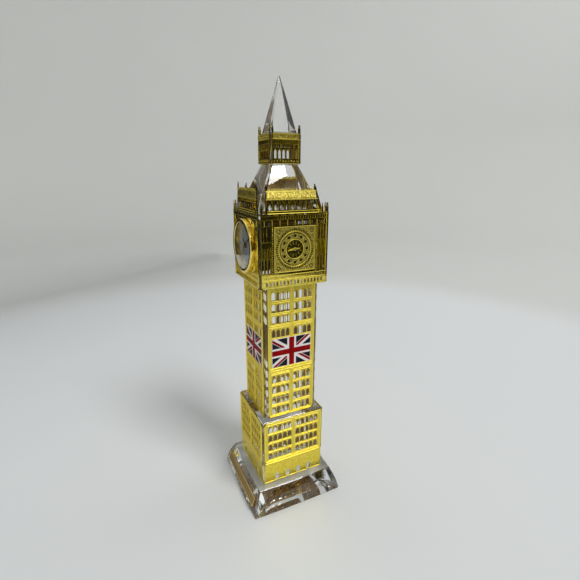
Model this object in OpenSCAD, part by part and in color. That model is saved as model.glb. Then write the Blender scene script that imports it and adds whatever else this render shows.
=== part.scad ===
// Clock-tower souvenir: a stack of bonded clear glass blocks clad with pierced, half-etched
// brass sheets, with a push-in quartz clock in the front of the clock stage.
// Millimetres, +Z up, front face towards -Y, origin at the middle of the underside.

/* [Glass base] */
// Width of the base at the table
base_w = 55; // [54:0.5:60]
// Width of the base at its top
base_top_w = 46; // [44:0.5:50]
// Height of the base
base_h = 13; // [12:0.5:16]

/* [Glass plinth] */
// Width of the plinth block
plinth_w = 36; // [36:0.1:37]
// Height of the plinth block
plinth_h = 39; // [39:0.5:42]

/* [Glass shaft] */
// Width of the shaft block
shaft_w = 29.6; // [29:0.1:31]
// Height of the shaft block
shaft_h = 74; // [74:0.5:78]

/* [Clock stage] */
// Width of the clock block
clock_w = 36; // [36:0.1:37]
// Height of the clock block
clock_h = 35; // [35:0.1:36]
// Height of the clock's axis above the foot of its block
clock_rise = 18.5; // [18:0.1:18.6]
// Diameter of the blind hole for the clock insert
bore_d = 24; // [24:0.01:24.04]
// Depth of the blind hole for the clock insert
bore_depth = 12; // [12:0.1:16]

/* [Roof, gallery and spire] */
// Width of the roof block at its foot
roof_w = 32.6; // [31:0.1:32.8]
// Width of the roof block at its top
roof_top_w = 15; // [15:0.1:16]
// Height of the roof block
roof_h = 22; // [22:0.1:24]
// Width of the gallery block
gallery_w = 15; // [15:0.1:16]
// Height of the gallery block
gallery_h = 14; // [14:0.1:15]
// Width of the spire at its foot
spire_w = 13; // [12:0.1:13.6]
// Height of the spire
spire_h = 25; // [24:0.1:28]
// Width of the flat at the spire's tip
spire_tip_w = 0.9; // [0.6:0.1:1.5]

/* [Etched sheets] */
// Thickness of the sheet where it is etched back
sheet_t = 0.35; // [0.3:0.01:0.4]
// Thickness of the sheet at its raised mouldings
relief_t = 0.6; // [0.55:0.01:0.65]
// Width of the plinth sheets
plinth_sheet_w = 34.8; // [34.4:0.1:35]
// Width of the shaft sheets
shaft_sheet_w = 26.6; // [26.4:0.1:27]
// Width of the clock-stage sheets
clock_sheet_w = 34.8; // [34.6:0.1:35]
// Width of the gallery sheets
gallery_sheet_w = 14.2; // [14:0.1:14.4]
// Lean of the belfry part on the back and the sides, in degrees
belfry_lean = 16; // [12:1:18]
// Lean of the belfry part on the front, in degrees
belfry_lean_front = 1; // [0:1:4]

/* [Flags and nameplate] */
// Width of the enamelled flags
flag_w = 22.4; // [21:0.1:22.6]
// Height of the enamelled flags
flag_h = 16; // [14:0.1:16.2]
// Thickness of the enamelled flags
flag_t = 0.3; // [0.2:0.05:0.4]
// Length of the nameplate
nameplate_w = 43; // [36:0.5:44]
// Height of the nameplate
nameplate_h = 5.6; // [5:0.1:9]
// Thickness of the nameplate
nameplate_t = 0.4; // [0.3:0.1:0.6]

/* [Clock insert] */
// Outer diameter of the gold ring
bezel_d = 27; // [26.6:0.1:27.6]
// How far the gold ring stands in front of the sheet
bezel_out = 2.2; // [2.2:0.1:2.8]
// How far the front of the case sits behind the front of the sheet
case_sink = 1.3; // [1.3:0.05:1.35]
// Diameter of the plastic case
case_d = 22.2; // [22.2:0.01:22.22]
// Wall of the plastic case
case_wall = 0.8; // [0.75:0.01:0.8]
// Diameter of the button cell
battery_d = 6.8; // [6.8:0.1:6.9]
// Height of the button cell
battery_h = 2.6; // [2.1:0.1:2.6]
// Minutes shown at rest
rest_minute = 9; // [0:1:59]
// Hour shown at rest
rest_hour = 10; // [0:1:11]
// Seconds shown at rest
rest_second = 34; // [0:1:59]

/* [Hidden] */
$fn = 72;

FRONT = 0;
RIGHT = 1;
BACK = 2;
LEFT = 3;

glass_col = [0.86, 0.92, 0.93, 0.35];
gold_col = [0.83, 0.66, 0.22];
steel_col = [0.7, 0.71, 0.73];
plastic_col = [0.12, 0.12, 0.13];

// Levels of the glass blocks
plinth_z = base_h;
shaft_z = plinth_z + plinth_h;
clock_z = shaft_z + shaft_h;
roof_z = clock_z + clock_h;
gallery_z = roof_z + roof_h;
spire_z = gallery_z + gallery_h;
axis_z = clock_z + clock_rise;
glass_chamfer = 0.4;

// Plinth sheet: border, lower band with doors, then rows of windows in two columns
edge_gap = 0.3;
border_w = 2.1;
mullion_w = 2.2;
plinth_ledge_z = 12.2;
plinth_ledge_h = 2.5;
plinth_row_z = 15.4;
plinth_row_pitch = 5.6;
plinth_rows = 4;
plinth_cols = 5;
plinth_window_h = 3.7;
door_w = 2.5;
door_h = 5;
door_sill = 0.7;
door_pitch = 6.6;

// Shaft sheet: four rows, the flag, one row, a band, three rows
shaft_border_w = 1.9;
shaft_mullion_w = 2.2;
shaft_cols = 4;
shaft_window_h = 4;
shaft_low_z = 2.3;
shaft_low_pitch = 6.2;
shaft_low_rows = 4;
flag_z = 29.8;
shaft_mid_z = 47.4;
shaft_high_z = 54.4;
shaft_high_pitch = 6;
shaft_high_rows = 3;

// Clock sheet: pilasters with slots, square field with the dial, window row at the foot
field_w = 20.4;
pilaster_slot_w = 0.7;
pilaster_slot_h = 6.5;
pilaster_slot_pitch = 1.7;
pilaster_slot_count = 3;
pilaster_at = 13.6;
foot_window_w = 1.1;
foot_window_h = 1.9;
foot_window_pitch = 2.2;
foot_window_count = 14;
foot_window_z = 1.3;
dial_ring_r = 9.2;
dial_track_r = 7.9;
dial_centre_r = 4.2;
ring_w = 0.5;
pin_w = 0.9;
pin_at = [14.4, 16.9];
pin_h = 4.4;
belfry_h = 10.4;
belfry_foot_w = 29;
ledge_w = 29.6;
belfry_top_w = 26.2;
belfry_arches = 9;
belfry_arch_w = 1.7;
belfry_arch_h = 4;
belfry_arch_z = 2;
belfry_arch_pitch = 2.6;
belfry_pin_h = 3.2;
ledge_side = 1.55;
ledge_front = 1;
sheet_hole_r = bore_d / 2 + 0.25;

// Gallery sheet
gallery_arches = 6;
gallery_arch_pitch = 2.05;
gallery_arch_w = 1.15;
gallery_arch_h = 5;
gallery_arch_z = 2.7;
gallery_cornice_h = 3;
gallery_pin_w = 0.8;
gallery_pin_h = 3.8;

// Clock insert, measured as depths behind the seat plane at the front of the case
seat_y = -clock_w / 2 - relief_t + case_sink;
flange_gap = 0.05;
bezel_front = bezel_out + case_sink;
bezel_r = bezel_d / 2;
case_r = case_d / 2;
case_in_r = case_r - case_wall;
case_back = 9;
lens_r = 11.5;
lens_t = 1;
lens_rise = 1.5;
lens_seat = bezel_front - 1.3;
dial_t = 0.35;
dial_r = case_r - 0.02;
grip_r = bore_d / 2 - 0.05;
cover_t = 0.8;
plate_front = 1.5;
plate_back = 2.3;
plate_r = case_in_r - 0.03;
bridge_front = 4.2;
bridge_back = 4.6;

// Gear train: tooth counts, modules and the positions of the axes
cannon_n = 12;
minute_n = 36;
minute_pinion_n = 10;
hour_n = 40;
knob_n = 12;
second_n = 48;
second_pinion_n = 8;
third_n = 60;
third_pinion_n = 8;
centre_n = 64;
inter_n = 40;
inter_pinion_n = 8;
rotor_n = 8;
setting_m = 0.13;
hour_m = setting_m * (cannon_n + minute_n) / (minute_pinion_n + hour_n);
third_m = 0.12;
centre_m = third_m * (second_pinion_n + third_n) / (third_pinion_n + centre_n);
second_m = 0.147;
inter_m = 0.12;
setting_dir = 60;
third_dir = 150;
rotor_dir = 330;
setting_gap = setting_m * (cannon_n + minute_n) / 2;
third_gap = third_m * (second_pinion_n + third_n) / 2;
inter_gap = second_m * (second_n + inter_pinion_n) / 2;
rotor_gap = inter_m * (inter_n + rotor_n) / 2;
minute_at = polar(setting_gap, setting_dir);
knob_at = polar(2 * setting_gap, setting_dir);
third_at = polar(third_gap, third_dir);
inter_at = polar(inter_gap, rotor_dir);
rotor_at = polar(inter_gap + rotor_gap, rotor_dir);

// Pivots, from the middle of the hand stack outwards
run = 0.04;
second_arbor_r = 0.16;
centre_tube_r = 0.34;
cannon_r = 0.52;
hour_pipe_r = 0.8;
pivot_r = 0.15;
post_r = 0.25;
knob_arbor_r = 0.35;
magnet_r = 0.9;

// Movement furniture
pillars = [[-7.7, 4.45], [8.2, 2.98], [-8.3, -2.6]];
board_posts = [[-7.6, -5.6], [7.4, -5.7]];
pillar_r = 0.8;
screw_r = 0.35;
screw_head_r = 0.7;
screw_head_h = 0.3;
board_front = 4.75;
board_t = 0.25;
board_edge = -4.4;
coil_z = -6.9;
coil_r = 0.75;
coil_from = -4.3;
coil_to = 3.4;
tab_from = -6.2;
tab_to = 5.2;
core_w = 1.1;
stator_front = 2.35;
stator_back = 2.85;
stator_arm_z = -5.1;
stator_foot_x = -5.6;
rotor_hole_r = 1.15;
battery_at = [-3.6, 4.4];
cup_front = 4.96;
cup_t = 0.15;
cup_h = 2;

function polar(r, a) = [r * cos(a), r * sin(a)];

// Pointed arch standing on the x axis
function lancet(w, h, n = 4) = let (spring = h - w * sin(60)) concat(
    [[-w / 2, 0], [w / 2, 0]],
    [for (i = [0:n]) [-w / 2 + w * cos(60 * i / n), spring + w * sin(60 * i / n)]],
    [for (i = [n - 1:-1:0]) [w / 2 - w * cos(60 * i / n), spring + w * sin(60 * i / n)]]);

// Toothed outline: four points a tooth, with the first tooth at the given phase
function gear_points(n, m, phase) = let (
    step = 360 / n, tip = n * m / 2 + 0.9 * m, root = n * m / 2 - 1.15 * m,
    spots = [[root, -0.32], [tip, -0.11], [tip, 0.11], [root, 0.32]])
    [for (i = [0:n - 1], s = spots) polar(s[0], phase + (i + s[1]) * step)];

// Phase of a gear that meshes at direction a with a gear of n1 teeth at phase p1
function mesh_phase(a, n1, p1, n2) = a + 180 - (0.5 - (a - p1) * n1 / 360) * 360 / n2;

minute_phase = mesh_phase(setting_dir, cannon_n, 0, minute_n);
hour_phase = mesh_phase(setting_dir + 180, minute_pinion_n, 0, hour_n);
knob_phase = mesh_phase(setting_dir, minute_n, minute_phase, knob_n);
third_phase = mesh_phase(third_dir, second_pinion_n, 0, third_n);
centre_phase = mesh_phase(third_dir + 180, third_pinion_n, 0, centre_n);
inter_pinion_phase = mesh_phase(rotor_dir, second_n, 0, inter_pinion_n);
rotor_phase = mesh_phase(rotor_dir, inter_n, 0, rotor_n);

// ---- Shared shapes ----

// Long bar with a trapezium section, lying along X or, turned by 90 degrees, along Y
module taper_bar(turn, w0, w1, h) {
    rotate([90, 0, turn]) linear_extrude(w0 + w1, center = true)
        polygon([[-w0 / 2, 0], [w0 / 2, 0], [w1 / 2, h], [-w1 / 2, h]]);
}

module tapered_block(w0, w1, h) {
    intersection() {
        taper_bar(0, w0, w1, h);
        taper_bar(90, w0, w1, h);
    }
}

// Upright glass block with narrow ground chamfers along its standing edges
module block(w, h) {
    c = glass_chamfer;
    s = w / 2;
    linear_extrude(h) polygon([[-s + c, -s], [s - c, -s], [s, -s + c], [s, s - c],
        [s - c, s], [-s + c, s], [-s, s - c], [-s, -s + c]]);
}

// Sheet standing against the front plane at y = -back, drawn as seen from outside
module sheet(back, t) {
    translate([0, -back, 0]) rotate([90, 0, 0]) linear_extrude(t) children();
}

module side(k) {
    rotate([0, 0, 90 * k]) children();
}

module rect(x0, z0, w, h) {
    translate([x0, z0]) square([w, h]);
}

module window_row(n, width, h) {
    pitch = width / n;
    for (i = [0:n - 1]) translate([(i + 0.5) * pitch, 0]) polygon(lancet(pitch * 0.74, h));
}

module window_pair(n, field, mullion, z, h) {
    group = (field - mullion) / 2;
    translate([-field / 2, z]) window_row(n, group, h);
    translate([mullion / 2, z]) window_row(n, group, h);
}

// ---- Glass ----

module glass_base() color(glass_col) tapered_block(base_w, base_top_w, base_h);
module glass_plinth() color(glass_col) translate([0, 0, plinth_z]) block(plinth_w, plinth_h);
module glass_shaft() color(glass_col) translate([0, 0, shaft_z]) block(shaft_w, shaft_h);
module glass_clock_block() {
    color(glass_col) difference() {
        translate([0, 0, clock_z]) block(clock_w, clock_h);
        translate([0, bore_depth - clock_w / 2, axis_z]) rotate([90, 0, 0])
            cylinder(h = bore_depth + 1, d = bore_d);
    }
}
module glass_roof() {
    color(glass_col) translate([0, 0, roof_z]) tapered_block(roof_w, roof_top_w, roof_h);
}
module glass_gallery() color(glass_col) translate([0, 0, gallery_z]) block(gallery_w, gallery_h);
module glass_spire() {
    color(glass_col) translate([0, 0, spire_z]) tapered_block(spire_w, spire_tip_w, spire_h);
}

// ---- Plinth sheets ----

plinth_sheet_h = plinth_h - 2 * edge_gap;
plinth_field = plinth_sheet_w - 2 * border_w;

module plinth_sheet_outline() {
    difference() {
        rect(-plinth_sheet_w / 2, 0, plinth_sheet_w, plinth_sheet_h);
        for (r = [0:plinth_rows - 1]) window_pair(plinth_cols, plinth_field, mullion_w,
            plinth_row_z + r * plinth_row_pitch, plinth_window_h);
        for (i = [-1.5:1:1.5]) translate([i * door_pitch, door_sill])
            polygon(lancet(door_w, door_h));
    }
}

module plinth_mouldings() {
    w = plinth_sheet_w;
    top = plinth_sheet_h - plinth_ledge_z;
    rect(-w / 2, plinth_ledge_z, w, plinth_ledge_h);
    rect(-w / 2, plinth_ledge_z, border_w - 0.3, top);
    rect(w / 2 - border_w + 0.3, plinth_ledge_z, border_w - 0.3, top);
    rect(-mullion_w / 2 + 0.3, plinth_ledge_z, mullion_w - 0.6, top);
    rect(-w / 2, plinth_sheet_h - 1.4, w, 1.4);
}

module plinth_panel(k) {
    color(gold_col) side(k) translate([0, 0, plinth_z + edge_gap]) {
        sheet(plinth_w / 2, sheet_t) plinth_sheet_outline();
        sheet(plinth_w / 2 + sheet_t / 2, relief_t - sheet_t / 2) plinth_mouldings();
    }
}
module plinth_panel_front() plinth_panel(FRONT);
module plinth_panel_right() plinth_panel(RIGHT);
module plinth_panel_back() plinth_panel(BACK);
module plinth_panel_left() plinth_panel(LEFT);

// ---- Shaft sheets ----

shaft_sheet_h = shaft_h - 2 * edge_gap;
shaft_field = shaft_sheet_w - 2 * shaft_border_w;

module shaft_sheet_outline() {
    low = [for (i = [0:shaft_low_rows - 1]) shaft_low_z + i * shaft_low_pitch];
    high = [for (i = [0:shaft_high_rows - 1]) shaft_high_z + i * shaft_high_pitch];
    difference() {
        rect(-shaft_sheet_w / 2, 0, shaft_sheet_w, shaft_sheet_h);
        for (z = concat(low, [shaft_mid_z], high))
            window_pair(shaft_cols, shaft_field, shaft_mullion_w, z, shaft_window_h);
    }
}

module shaft_mouldings() {
    w = shaft_sheet_w;
    b = shaft_border_w - 0.3;
    m = shaft_mullion_w - 0.6;
    band_z = shaft_mid_z + shaft_window_h + 0.6;
    flag_top = flag_z + flag_h + 0.3;
    rect(-w / 2, 0, b, shaft_sheet_h);
    rect(w / 2 - b, 0, b, shaft_sheet_h);
    rect(-w / 2, 0, w, 1.6);
    rect(-w / 2, shaft_sheet_h - 1, w, 1);
    rect(-w / 2, band_z, w, 1.6);
    rect(-m / 2, 1, m, flag_z - 2.6);
    rect(-m / 2, flag_top, m, shaft_sheet_h - flag_top);
    rect(-w / 2, flag_z - 2.4, w, 1.2);
}

module shaft_panel(k) {
    color(gold_col) side(k) translate([0, 0, shaft_z + edge_gap]) {
        sheet(shaft_w / 2, sheet_t) shaft_sheet_outline();
        sheet(shaft_w / 2 + sheet_t / 2, relief_t - sheet_t / 2) shaft_mouldings();
    }
}
module shaft_panel_front() shaft_panel(FRONT);
module shaft_panel_right() shaft_panel(RIGHT);
module shaft_panel_back() shaft_panel(BACK);
module shaft_panel_left() shaft_panel(LEFT);

// ---- Clock-stage sheets: upright part, folded ledge and leaning belfry in one piece ----

clock_sheet_h = clock_h + sheet_t - edge_gap;
axis_up = clock_rise - edge_gap;

module pin_outline(w, h) {
    polygon([[-w / 2, 0], [w / 2, 0], [w / 2, h * 0.55], [w * 0.18, h], [-w * 0.18, h],
        [-w / 2, h * 0.55]]);
}

module clock_sheet_outline(has_insert) {
    difference() {
        union() {
            rect(-clock_sheet_w / 2, 0, clock_sheet_w, clock_sheet_h);
            for (s = [-1, 1], x = pin_at) translate([s * x, clock_sheet_h - 0.1])
                pin_outline(pin_w, pin_h + 0.1);
        }
        for (i = [0:foot_window_count - 1])
            translate([(i - (foot_window_count - 1) / 2) * foot_window_pitch, foot_window_z])
                polygon(lancet(foot_window_w, foot_window_h));
        for (s = [-1, 1], i = [0:pilaster_slot_count - 1], z = [axis_up - 12.5, axis_up + 4.5])
            rect(s * pilaster_at + (i - 1) * pilaster_slot_pitch - pilaster_slot_w / 2, z,
                pilaster_slot_w, pilaster_slot_h);
        if (has_insert) translate([0, axis_up]) circle(r = sheet_hole_r);
    }
}

module clock_mouldings() {
    w = clock_sheet_w;
    f = field_w / 2;
    rect(-w / 2, 0, w, 1);
    rect(-w / 2, axis_up - f - 1, w, 0.7);
    rect(-w / 2, axis_up + f + 0.3, w, 0.7);
    rect(-w / 2, clock_sheet_h - 2.6, w, 2.6);
    for (s = [-1, 1]) {
        rect(s * (f + 0.7) - 0.4, axis_up - f - 0.6, 0.8, field_w + 1.4);
        rect(s * (w / 2 - 0.4) - 0.4, 0, 0.8, clock_sheet_h);
    }
}

module ring_outline(r, w) {
    difference() {
        circle(r = r);
        circle(r = r - w);
    }
}

// Dummy dial of the sides without a working clock: two rings, hour marks and fixed hands
module etched_dial() {
    mark_w = 0.6;
    mark_in = dial_centre_r + 0.7;
    mark_out = dial_track_r - ring_w - 0.6;
    translate([0, axis_up]) {
        ring_outline(dial_ring_r, ring_w);
        ring_outline(dial_track_r, ring_w);
        ring_outline(dial_centre_r, ring_w);
        for (a = [0:30:330]) rotate(a) rect(-mark_w / 2, mark_in, mark_w, mark_out - mark_in);
        circle(r = 0.7);
        rotate(98) rect(-0.3, 0.3, 0.6, 2.9);
        rotate(-84) rect(-0.25, 0.3, 0.5, 2.2);
    }
}

module belfry_outline() {
    difference() {
        polygon([[-belfry_foot_w / 2, 0], [belfry_foot_w / 2, 0],
            [belfry_top_w / 2, belfry_h], [-belfry_top_w / 2, belfry_h]]);
        for (i = [0:belfry_arches - 1])
            translate([(i - (belfry_arches - 1) / 2) * belfry_arch_pitch, belfry_arch_z])
                polygon(lancet(belfry_arch_w, belfry_arch_h));
    }
    for (s = [-1, 1]) translate([s * (belfry_top_w / 2 - pin_w / 2), belfry_h - 0.2])
        pin_outline(pin_w, belfry_pin_h + 0.2);
}

module clock_panel(k, lean, ledge, has_insert) {
    back = clock_w / 2;
    fold_in = 0.12;
    fold_down = sheet_t * 0.6;
    color(gold_col) side(k) translate([0, 0, clock_z + edge_gap]) {
        sheet(back, sheet_t) clock_sheet_outline(has_insert);
        sheet(back + sheet_t / 2, relief_t - sheet_t / 2) difference() {
            clock_mouldings();
            if (has_insert) translate([0, axis_up]) circle(r = sheet_hole_r);
        }
        if (!has_insert) sheet(back + sheet_t / 2, relief_t - sheet_t / 2) etched_dial();
        translate([-ledge_w / 2, -back - sheet_t / 2, clock_sheet_h - sheet_t])
            cube([ledge_w, ledge + sheet_t / 2, sheet_t]);
        translate([0, ledge - back - fold_in, clock_sheet_h - fold_down]) rotate([-lean, 0, 0]) {
            sheet(0, sheet_t) belfry_outline();
            sheet(sheet_t / 2, relief_t - sheet_t / 2) {
                rect(-belfry_top_w / 2, belfry_h - 3, belfry_top_w, 3);
                rect(-belfry_foot_w / 2 + 0.4, 1, belfry_foot_w - 0.8, 0.6);
            }
        }
    }
}
module clock_panel_front() clock_panel(FRONT, belfry_lean_front, ledge_front, true);
module clock_panel_right() clock_panel(RIGHT, belfry_lean, ledge_side, false);
module clock_panel_back() clock_panel(BACK, belfry_lean, ledge_side, false);
module clock_panel_left() clock_panel(LEFT, belfry_lean, ledge_side, false);

// ---- Gallery sheets ----

gallery_sheet_h = gallery_h - 2 * edge_gap;

module gallery_panel(k) {
    w = gallery_sheet_w;
    color(gold_col) side(k) translate([0, 0, gallery_z + edge_gap]) {
        sheet(gallery_w / 2, sheet_t) {
            difference() {
                rect(-w / 2, 0, w, gallery_sheet_h);
                for (i = [0:gallery_arches - 1])
                    translate([(i - (gallery_arches - 1) / 2) * gallery_arch_pitch,
                        gallery_arch_z]) polygon(lancet(gallery_arch_w, gallery_arch_h));
            }
            for (s = [-1, 1]) translate([s * (w - gallery_pin_w) / 2, gallery_sheet_h - 0.1])
                pin_outline(gallery_pin_w, gallery_pin_h + 0.1);
        }
        sheet(gallery_w / 2 + sheet_t / 2, relief_t - sheet_t / 2) {
            rect(-w / 2, gallery_sheet_h - gallery_cornice_h, w, gallery_cornice_h);
            rect(-w / 2, 0, w, 0.8);
            rect(-w / 2, gallery_arch_z - 0.9, w, 0.5);
        }
    }
}
module gallery_panel_front() gallery_panel(FRONT);
module gallery_panel_right() gallery_panel(RIGHT);
module gallery_panel_back() gallery_panel(BACK);
module gallery_panel_left() gallery_panel(LEFT);

// ---- Flags and nameplate ----

module flag(k) {
    color([0.7, 0.1, 0.15]) side(k) translate([0, 0, shaft_z + edge_gap])
        sheet(shaft_w / 2 + sheet_t, flag_t) rect(-flag_w / 2, flag_z, flag_w, flag_h);
}
module flag_front() flag(FRONT);
module flag_right() flag(RIGHT);
module flag_back() flag(BACK);
module flag_left() flag(LEFT);

module nameplate() {
    slope = atan((base_w - base_top_w) / 2 / base_h);
    run_h = base_h / cos(slope);
    color(gold_col) translate([0, -base_w / 2, 0]) rotate([-slope, 0, 0])
        sheet(0, nameplate_t) rect(-nameplate_w / 2, (run_h - nameplate_h) / 2,
            nameplate_w, nameplate_h);
}

// ---- Clock insert, drawn as seen from the front; depths run back from the seat ----

module at_seat() {
    translate([0, seat_y, axis_z]) rotate([90, 0, 0]) children();
}

module slab(d0, d1) {
    translate([0, 0, -d1]) linear_extrude(d1 - d0) children();
}

// Straight bar with slightly swollen round ends
module bar(a, b, w) {
    end_swell = 1.1;
    d = b - a;
    translate(a) rotate(atan2(d[1], d[0])) translate([0, -w / 2]) square([norm(d), w]);
    translate(a) circle(d = w * end_swell);
    translate(b) circle(d = w * end_swell);
}

module bezel() {
    lip = lens_r + 0.05;
    flange = case_sink + flange_gap;
    color(gold_col) at_seat() rotate_extrude() polygon([
        [case_r + 0.05, -1.3], [case_r + 0.5, -1.3], [case_r + 0.5, flange],
        [bezel_r, flange], [bezel_r, bezel_front - 0.8], [bezel_r - 0.15, bezel_front - 0.35],
        [bezel_r - 0.5, bezel_front - 0.08], [bezel_r - 0.95, bezel_front], [lip, bezel_front],
        [lip, lens_seat], [lip - 0.6, lens_seat], [lip - 0.6, 0.4], [case_r + 0.05, 0.4]]);
}

module lens() {
    rim = 1.1;
    bow = (lens_r * lens_r + lens_rise * lens_rise) / (2 * lens_rise);
    color([0.9, 0.95, 0.97, 0.35]) at_seat() translate([0, 0, lens_seat]) intersection() {
        cylinder(h = rim + lens_rise + 1, r = lens_r);
        difference() {
            translate([0, 0, rim + lens_rise - bow]) sphere(r = bow);
            translate([0, 0, rim + lens_rise - bow]) sphere(r = bow - lens_t);
        }
    }
}

module dial() {
    color([0.88, 0.87, 0.8]) at_seat() slab(-dial_t, 0) difference() {
        circle(r = dial_r);
        circle(r = hour_pipe_r + 0.08);
    }
}

module insert_case() {
    color(plastic_col) at_seat() slab(0, case_back) ring_outline(case_r, case_wall);
}

module grip_ring() {
    lip = 0.6;
    inner = case_r + 0.02;
    root = case_r + 0.4;
    color(plastic_col) at_seat() rotate_extrude() polygon(concat(
        [[inner, -1.6], [inner, -7.2]],
        [for (d = [-7.2, -4.7, -2.2], p = [[grip_r, 0], [grip_r, lip], [root, lip]])
            [p[0], d + p[1]]],
        [[root, -1.6]]));
}

module back_cover() {
    color(plastic_col) at_seat() difference() {
        union() {
            slab(case_back, case_back + cover_t) circle(r = case_r);
            slab(case_back - 0.8, case_back + 0.1) ring_outline(case_in_r - 0.02, 0.7);
        }
        slab(case_back - 1, case_back + cover_t + 1) translate(knob_at)
            circle(r = knob_arbor_r + run);
    }
}

hour_angle = -30 * (rest_hour + rest_minute / 60);
minute_angle = -6 * rest_minute;
second_angle = -6 * rest_second;

module baton(r, hole, w, length, tail) {
    difference() {
        union() {
            circle(r = r);
            polygon([[-w / 2, -tail], [w / 2, -tail], [w * 0.42, length - w], [0, length],
                [-w * 0.42, length - w]]);
        }
        circle(r = hole);
    }
}

module hour_hand() {
    color(plastic_col) at_seat() slab(-0.85, -0.7) rotate(hour_angle)
        baton(1.2, hour_pipe_r + 0.01, 0.8, 5.6, 1.5);
}
module minute_hand() {
    color(plastic_col) at_seat() slab(-1.3, -1.15) rotate(minute_angle)
        baton(0.9, cannon_r + 0.01, 0.6, 8.4, 1.5);
}
module second_hand() {
    color([0.7, 0.1, 0.1]) at_seat() slab(-1.75, -1.6) rotate(second_angle)
        baton(0.5, second_arbor_r + 0.01, 0.22, 8.8, 2.6);
}

module movement_plate() {
    color(steel_col) at_seat() {
        slab(plate_front, plate_back) difference() {
            circle(r = plate_r);
            circle(r = centre_tube_r + run);
            translate(knob_at) circle(r = knob_arbor_r + run);
            for (p = [third_at, inter_at, rotor_at]) translate(p) circle(r = pivot_r + run);
        }
        slab(0.18, plate_front + 0.1) translate(minute_at) circle(r = post_r);
        slab(plate_back - 0.1, bridge_front) for (p = pillars) translate(p)
            ring_outline(pillar_r, pillar_r - screw_r - 0.01);
        slab(plate_back - 0.1, board_front) for (p = board_posts) translate(p) circle(r = 0.55);
    }
}

module train_bridge() {
    color(steel_col) at_seat() slab(bridge_front, bridge_back) difference() {
        union() {
            for (p = pillars) bar([0, 0], p, 2.4);
            bar([0, 0], rotor_at, 2.2);
            circle(r = 1.8);
        }
        for (p = pillars) translate(p) circle(r = screw_r + 0.01);
        for (p = [third_at, inter_at, rotor_at]) translate(p) circle(r = pivot_r + run);
        circle(r = second_arbor_r + run);
    }
}

module bridge_screws() {
    color(steel_col) at_seat() for (p = pillars) translate(p) difference() {
        union() {
            slab(2.9, bridge_back + 0.1) circle(r = screw_r);
            slab(bridge_back, bridge_back + screw_head_h) circle(r = screw_head_r);
        }
        slab(bridge_back + 0.15, bridge_back + 1) square([2, 0.2], center = true);
    }
}

module tube(r, bore, d0, d1) {
    slab(d0, d1) ring_outline(r, r - bore);
}

module wheel(n, m, phase, bore, d0, d1) {
    slab(d0, d1) difference() {
        polygon(gear_points(n, m, phase));
        circle(r = bore);
    }
}

module solid_wheel(n, m, phase, d0, d1) {
    slab(d0, d1) polygon(gear_points(n, m, phase));
}

module cannon_pinion() {
    color(gold_col) at_seat() {
        tube(cannon_r, centre_tube_r + run, -1.35, 1.1);
        wheel(cannon_n, setting_m, 0, centre_tube_r + run, 0.6, 1.15);
    }
}

module minute_wheel() {
    color(gold_col) at_seat() translate(minute_at) {
        wheel(minute_n, setting_m, minute_phase, post_r + run, 0.75, 1);
        wheel(minute_pinion_n, hour_m, 0, post_r + run, 0.1, 0.8);
    }
}

module hour_wheel() {
    color(gold_col) at_seat() {
        wheel(hour_n, hour_m, hour_phase, cannon_r + run, 0.15, 0.45);
        tube(hour_pipe_r, cannon_r + run, -0.9, 0.3);
    }
}

module setting_knob() {
    knob_r = 1.8;
    color(plastic_col) at_seat() translate(knob_at) {
        solid_wheel(knob_n, setting_m, knob_phase, 0.6, 1.15);
        slab(0.6, 10) circle(r = knob_arbor_r);
        slab(9.9, 11.1) difference() {
            circle(r = knob_r);
            for (a = [0:30:330]) rotate(a) translate([knob_r + 0.1, 0]) circle(r = 0.25);
        }
    }
}

module centre_wheel() {
    color(gold_col) at_seat() {
        wheel(centre_n, centre_m, centre_phase, second_arbor_r + run, 2.45, 2.65);
        tube(centre_tube_r, second_arbor_r + run, -0.6, 2.75);
    }
}

module third_wheel() {
    color(gold_col) at_seat() translate(third_at) {
        slab(1.6, 4.5) circle(r = pivot_r);
        solid_wheel(third_pinion_n, centre_m, 0, 2.38, 2.78);
        solid_wheel(third_n, third_m, third_phase, 3.28, 3.5);
    }
}

module seconds_wheel() {
    color(gold_col) at_seat() {
        slab(-1.8, 4.55) circle(r = second_arbor_r);
        solid_wheel(second_n, second_m, 0, 2.9, 3.1);
        solid_wheel(second_pinion_n, third_m, 0, 3.2, 3.6);
    }
}

module intermediate_wheel() {
    color(gold_col) at_seat() translate(inter_at) {
        slab(1.6, 4.5) circle(r = pivot_r);
        solid_wheel(inter_pinion_n, second_m, inter_pinion_phase, 2.85, 3.18);
        solid_wheel(inter_n, inter_m, 0, 3.72, 3.92);
    }
}

module rotor() {
    color(steel_col) at_seat() translate(rotor_at) {
        slab(1.6, 4.5) circle(r = pivot_r);
        slab(2.4, 3.1) circle(r = magnet_r);
        solid_wheel(rotor_n, inter_m, rotor_phase, 3.55, 4);
    }
}

module stator() {
    arm = [stator_foot_x, stator_arm_z];
    color(steel_col) at_seat() slab(stator_front, stator_back) difference() {
        union() {
            bar([stator_foot_x, coil_z], arm, 1.2);
            bar(arm, [rotor_at[0] - 1, stator_arm_z], 0.9);
            bar([tab_to - 0.6, coil_z], [rotor_at[0], rotor_at[1] - 1], 1.2);
            translate(rotor_at) circle(r = 1.9);
        }
        translate(rotor_at) circle(r = rotor_hole_r);
    }
}

module coil() {
    depth = stator_back + 0.25;
    color([0.72, 0.4, 0.16]) at_seat() {
        slab(stator_back, stator_back + 0.5) rect(tab_from, coil_z - core_w / 2,
            tab_to - tab_from, core_w);
        translate([coil_from, coil_z, -depth]) rotate([0, 90, 0])
            cylinder(h = coil_to - coil_from, r = coil_r);
    }
}

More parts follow.
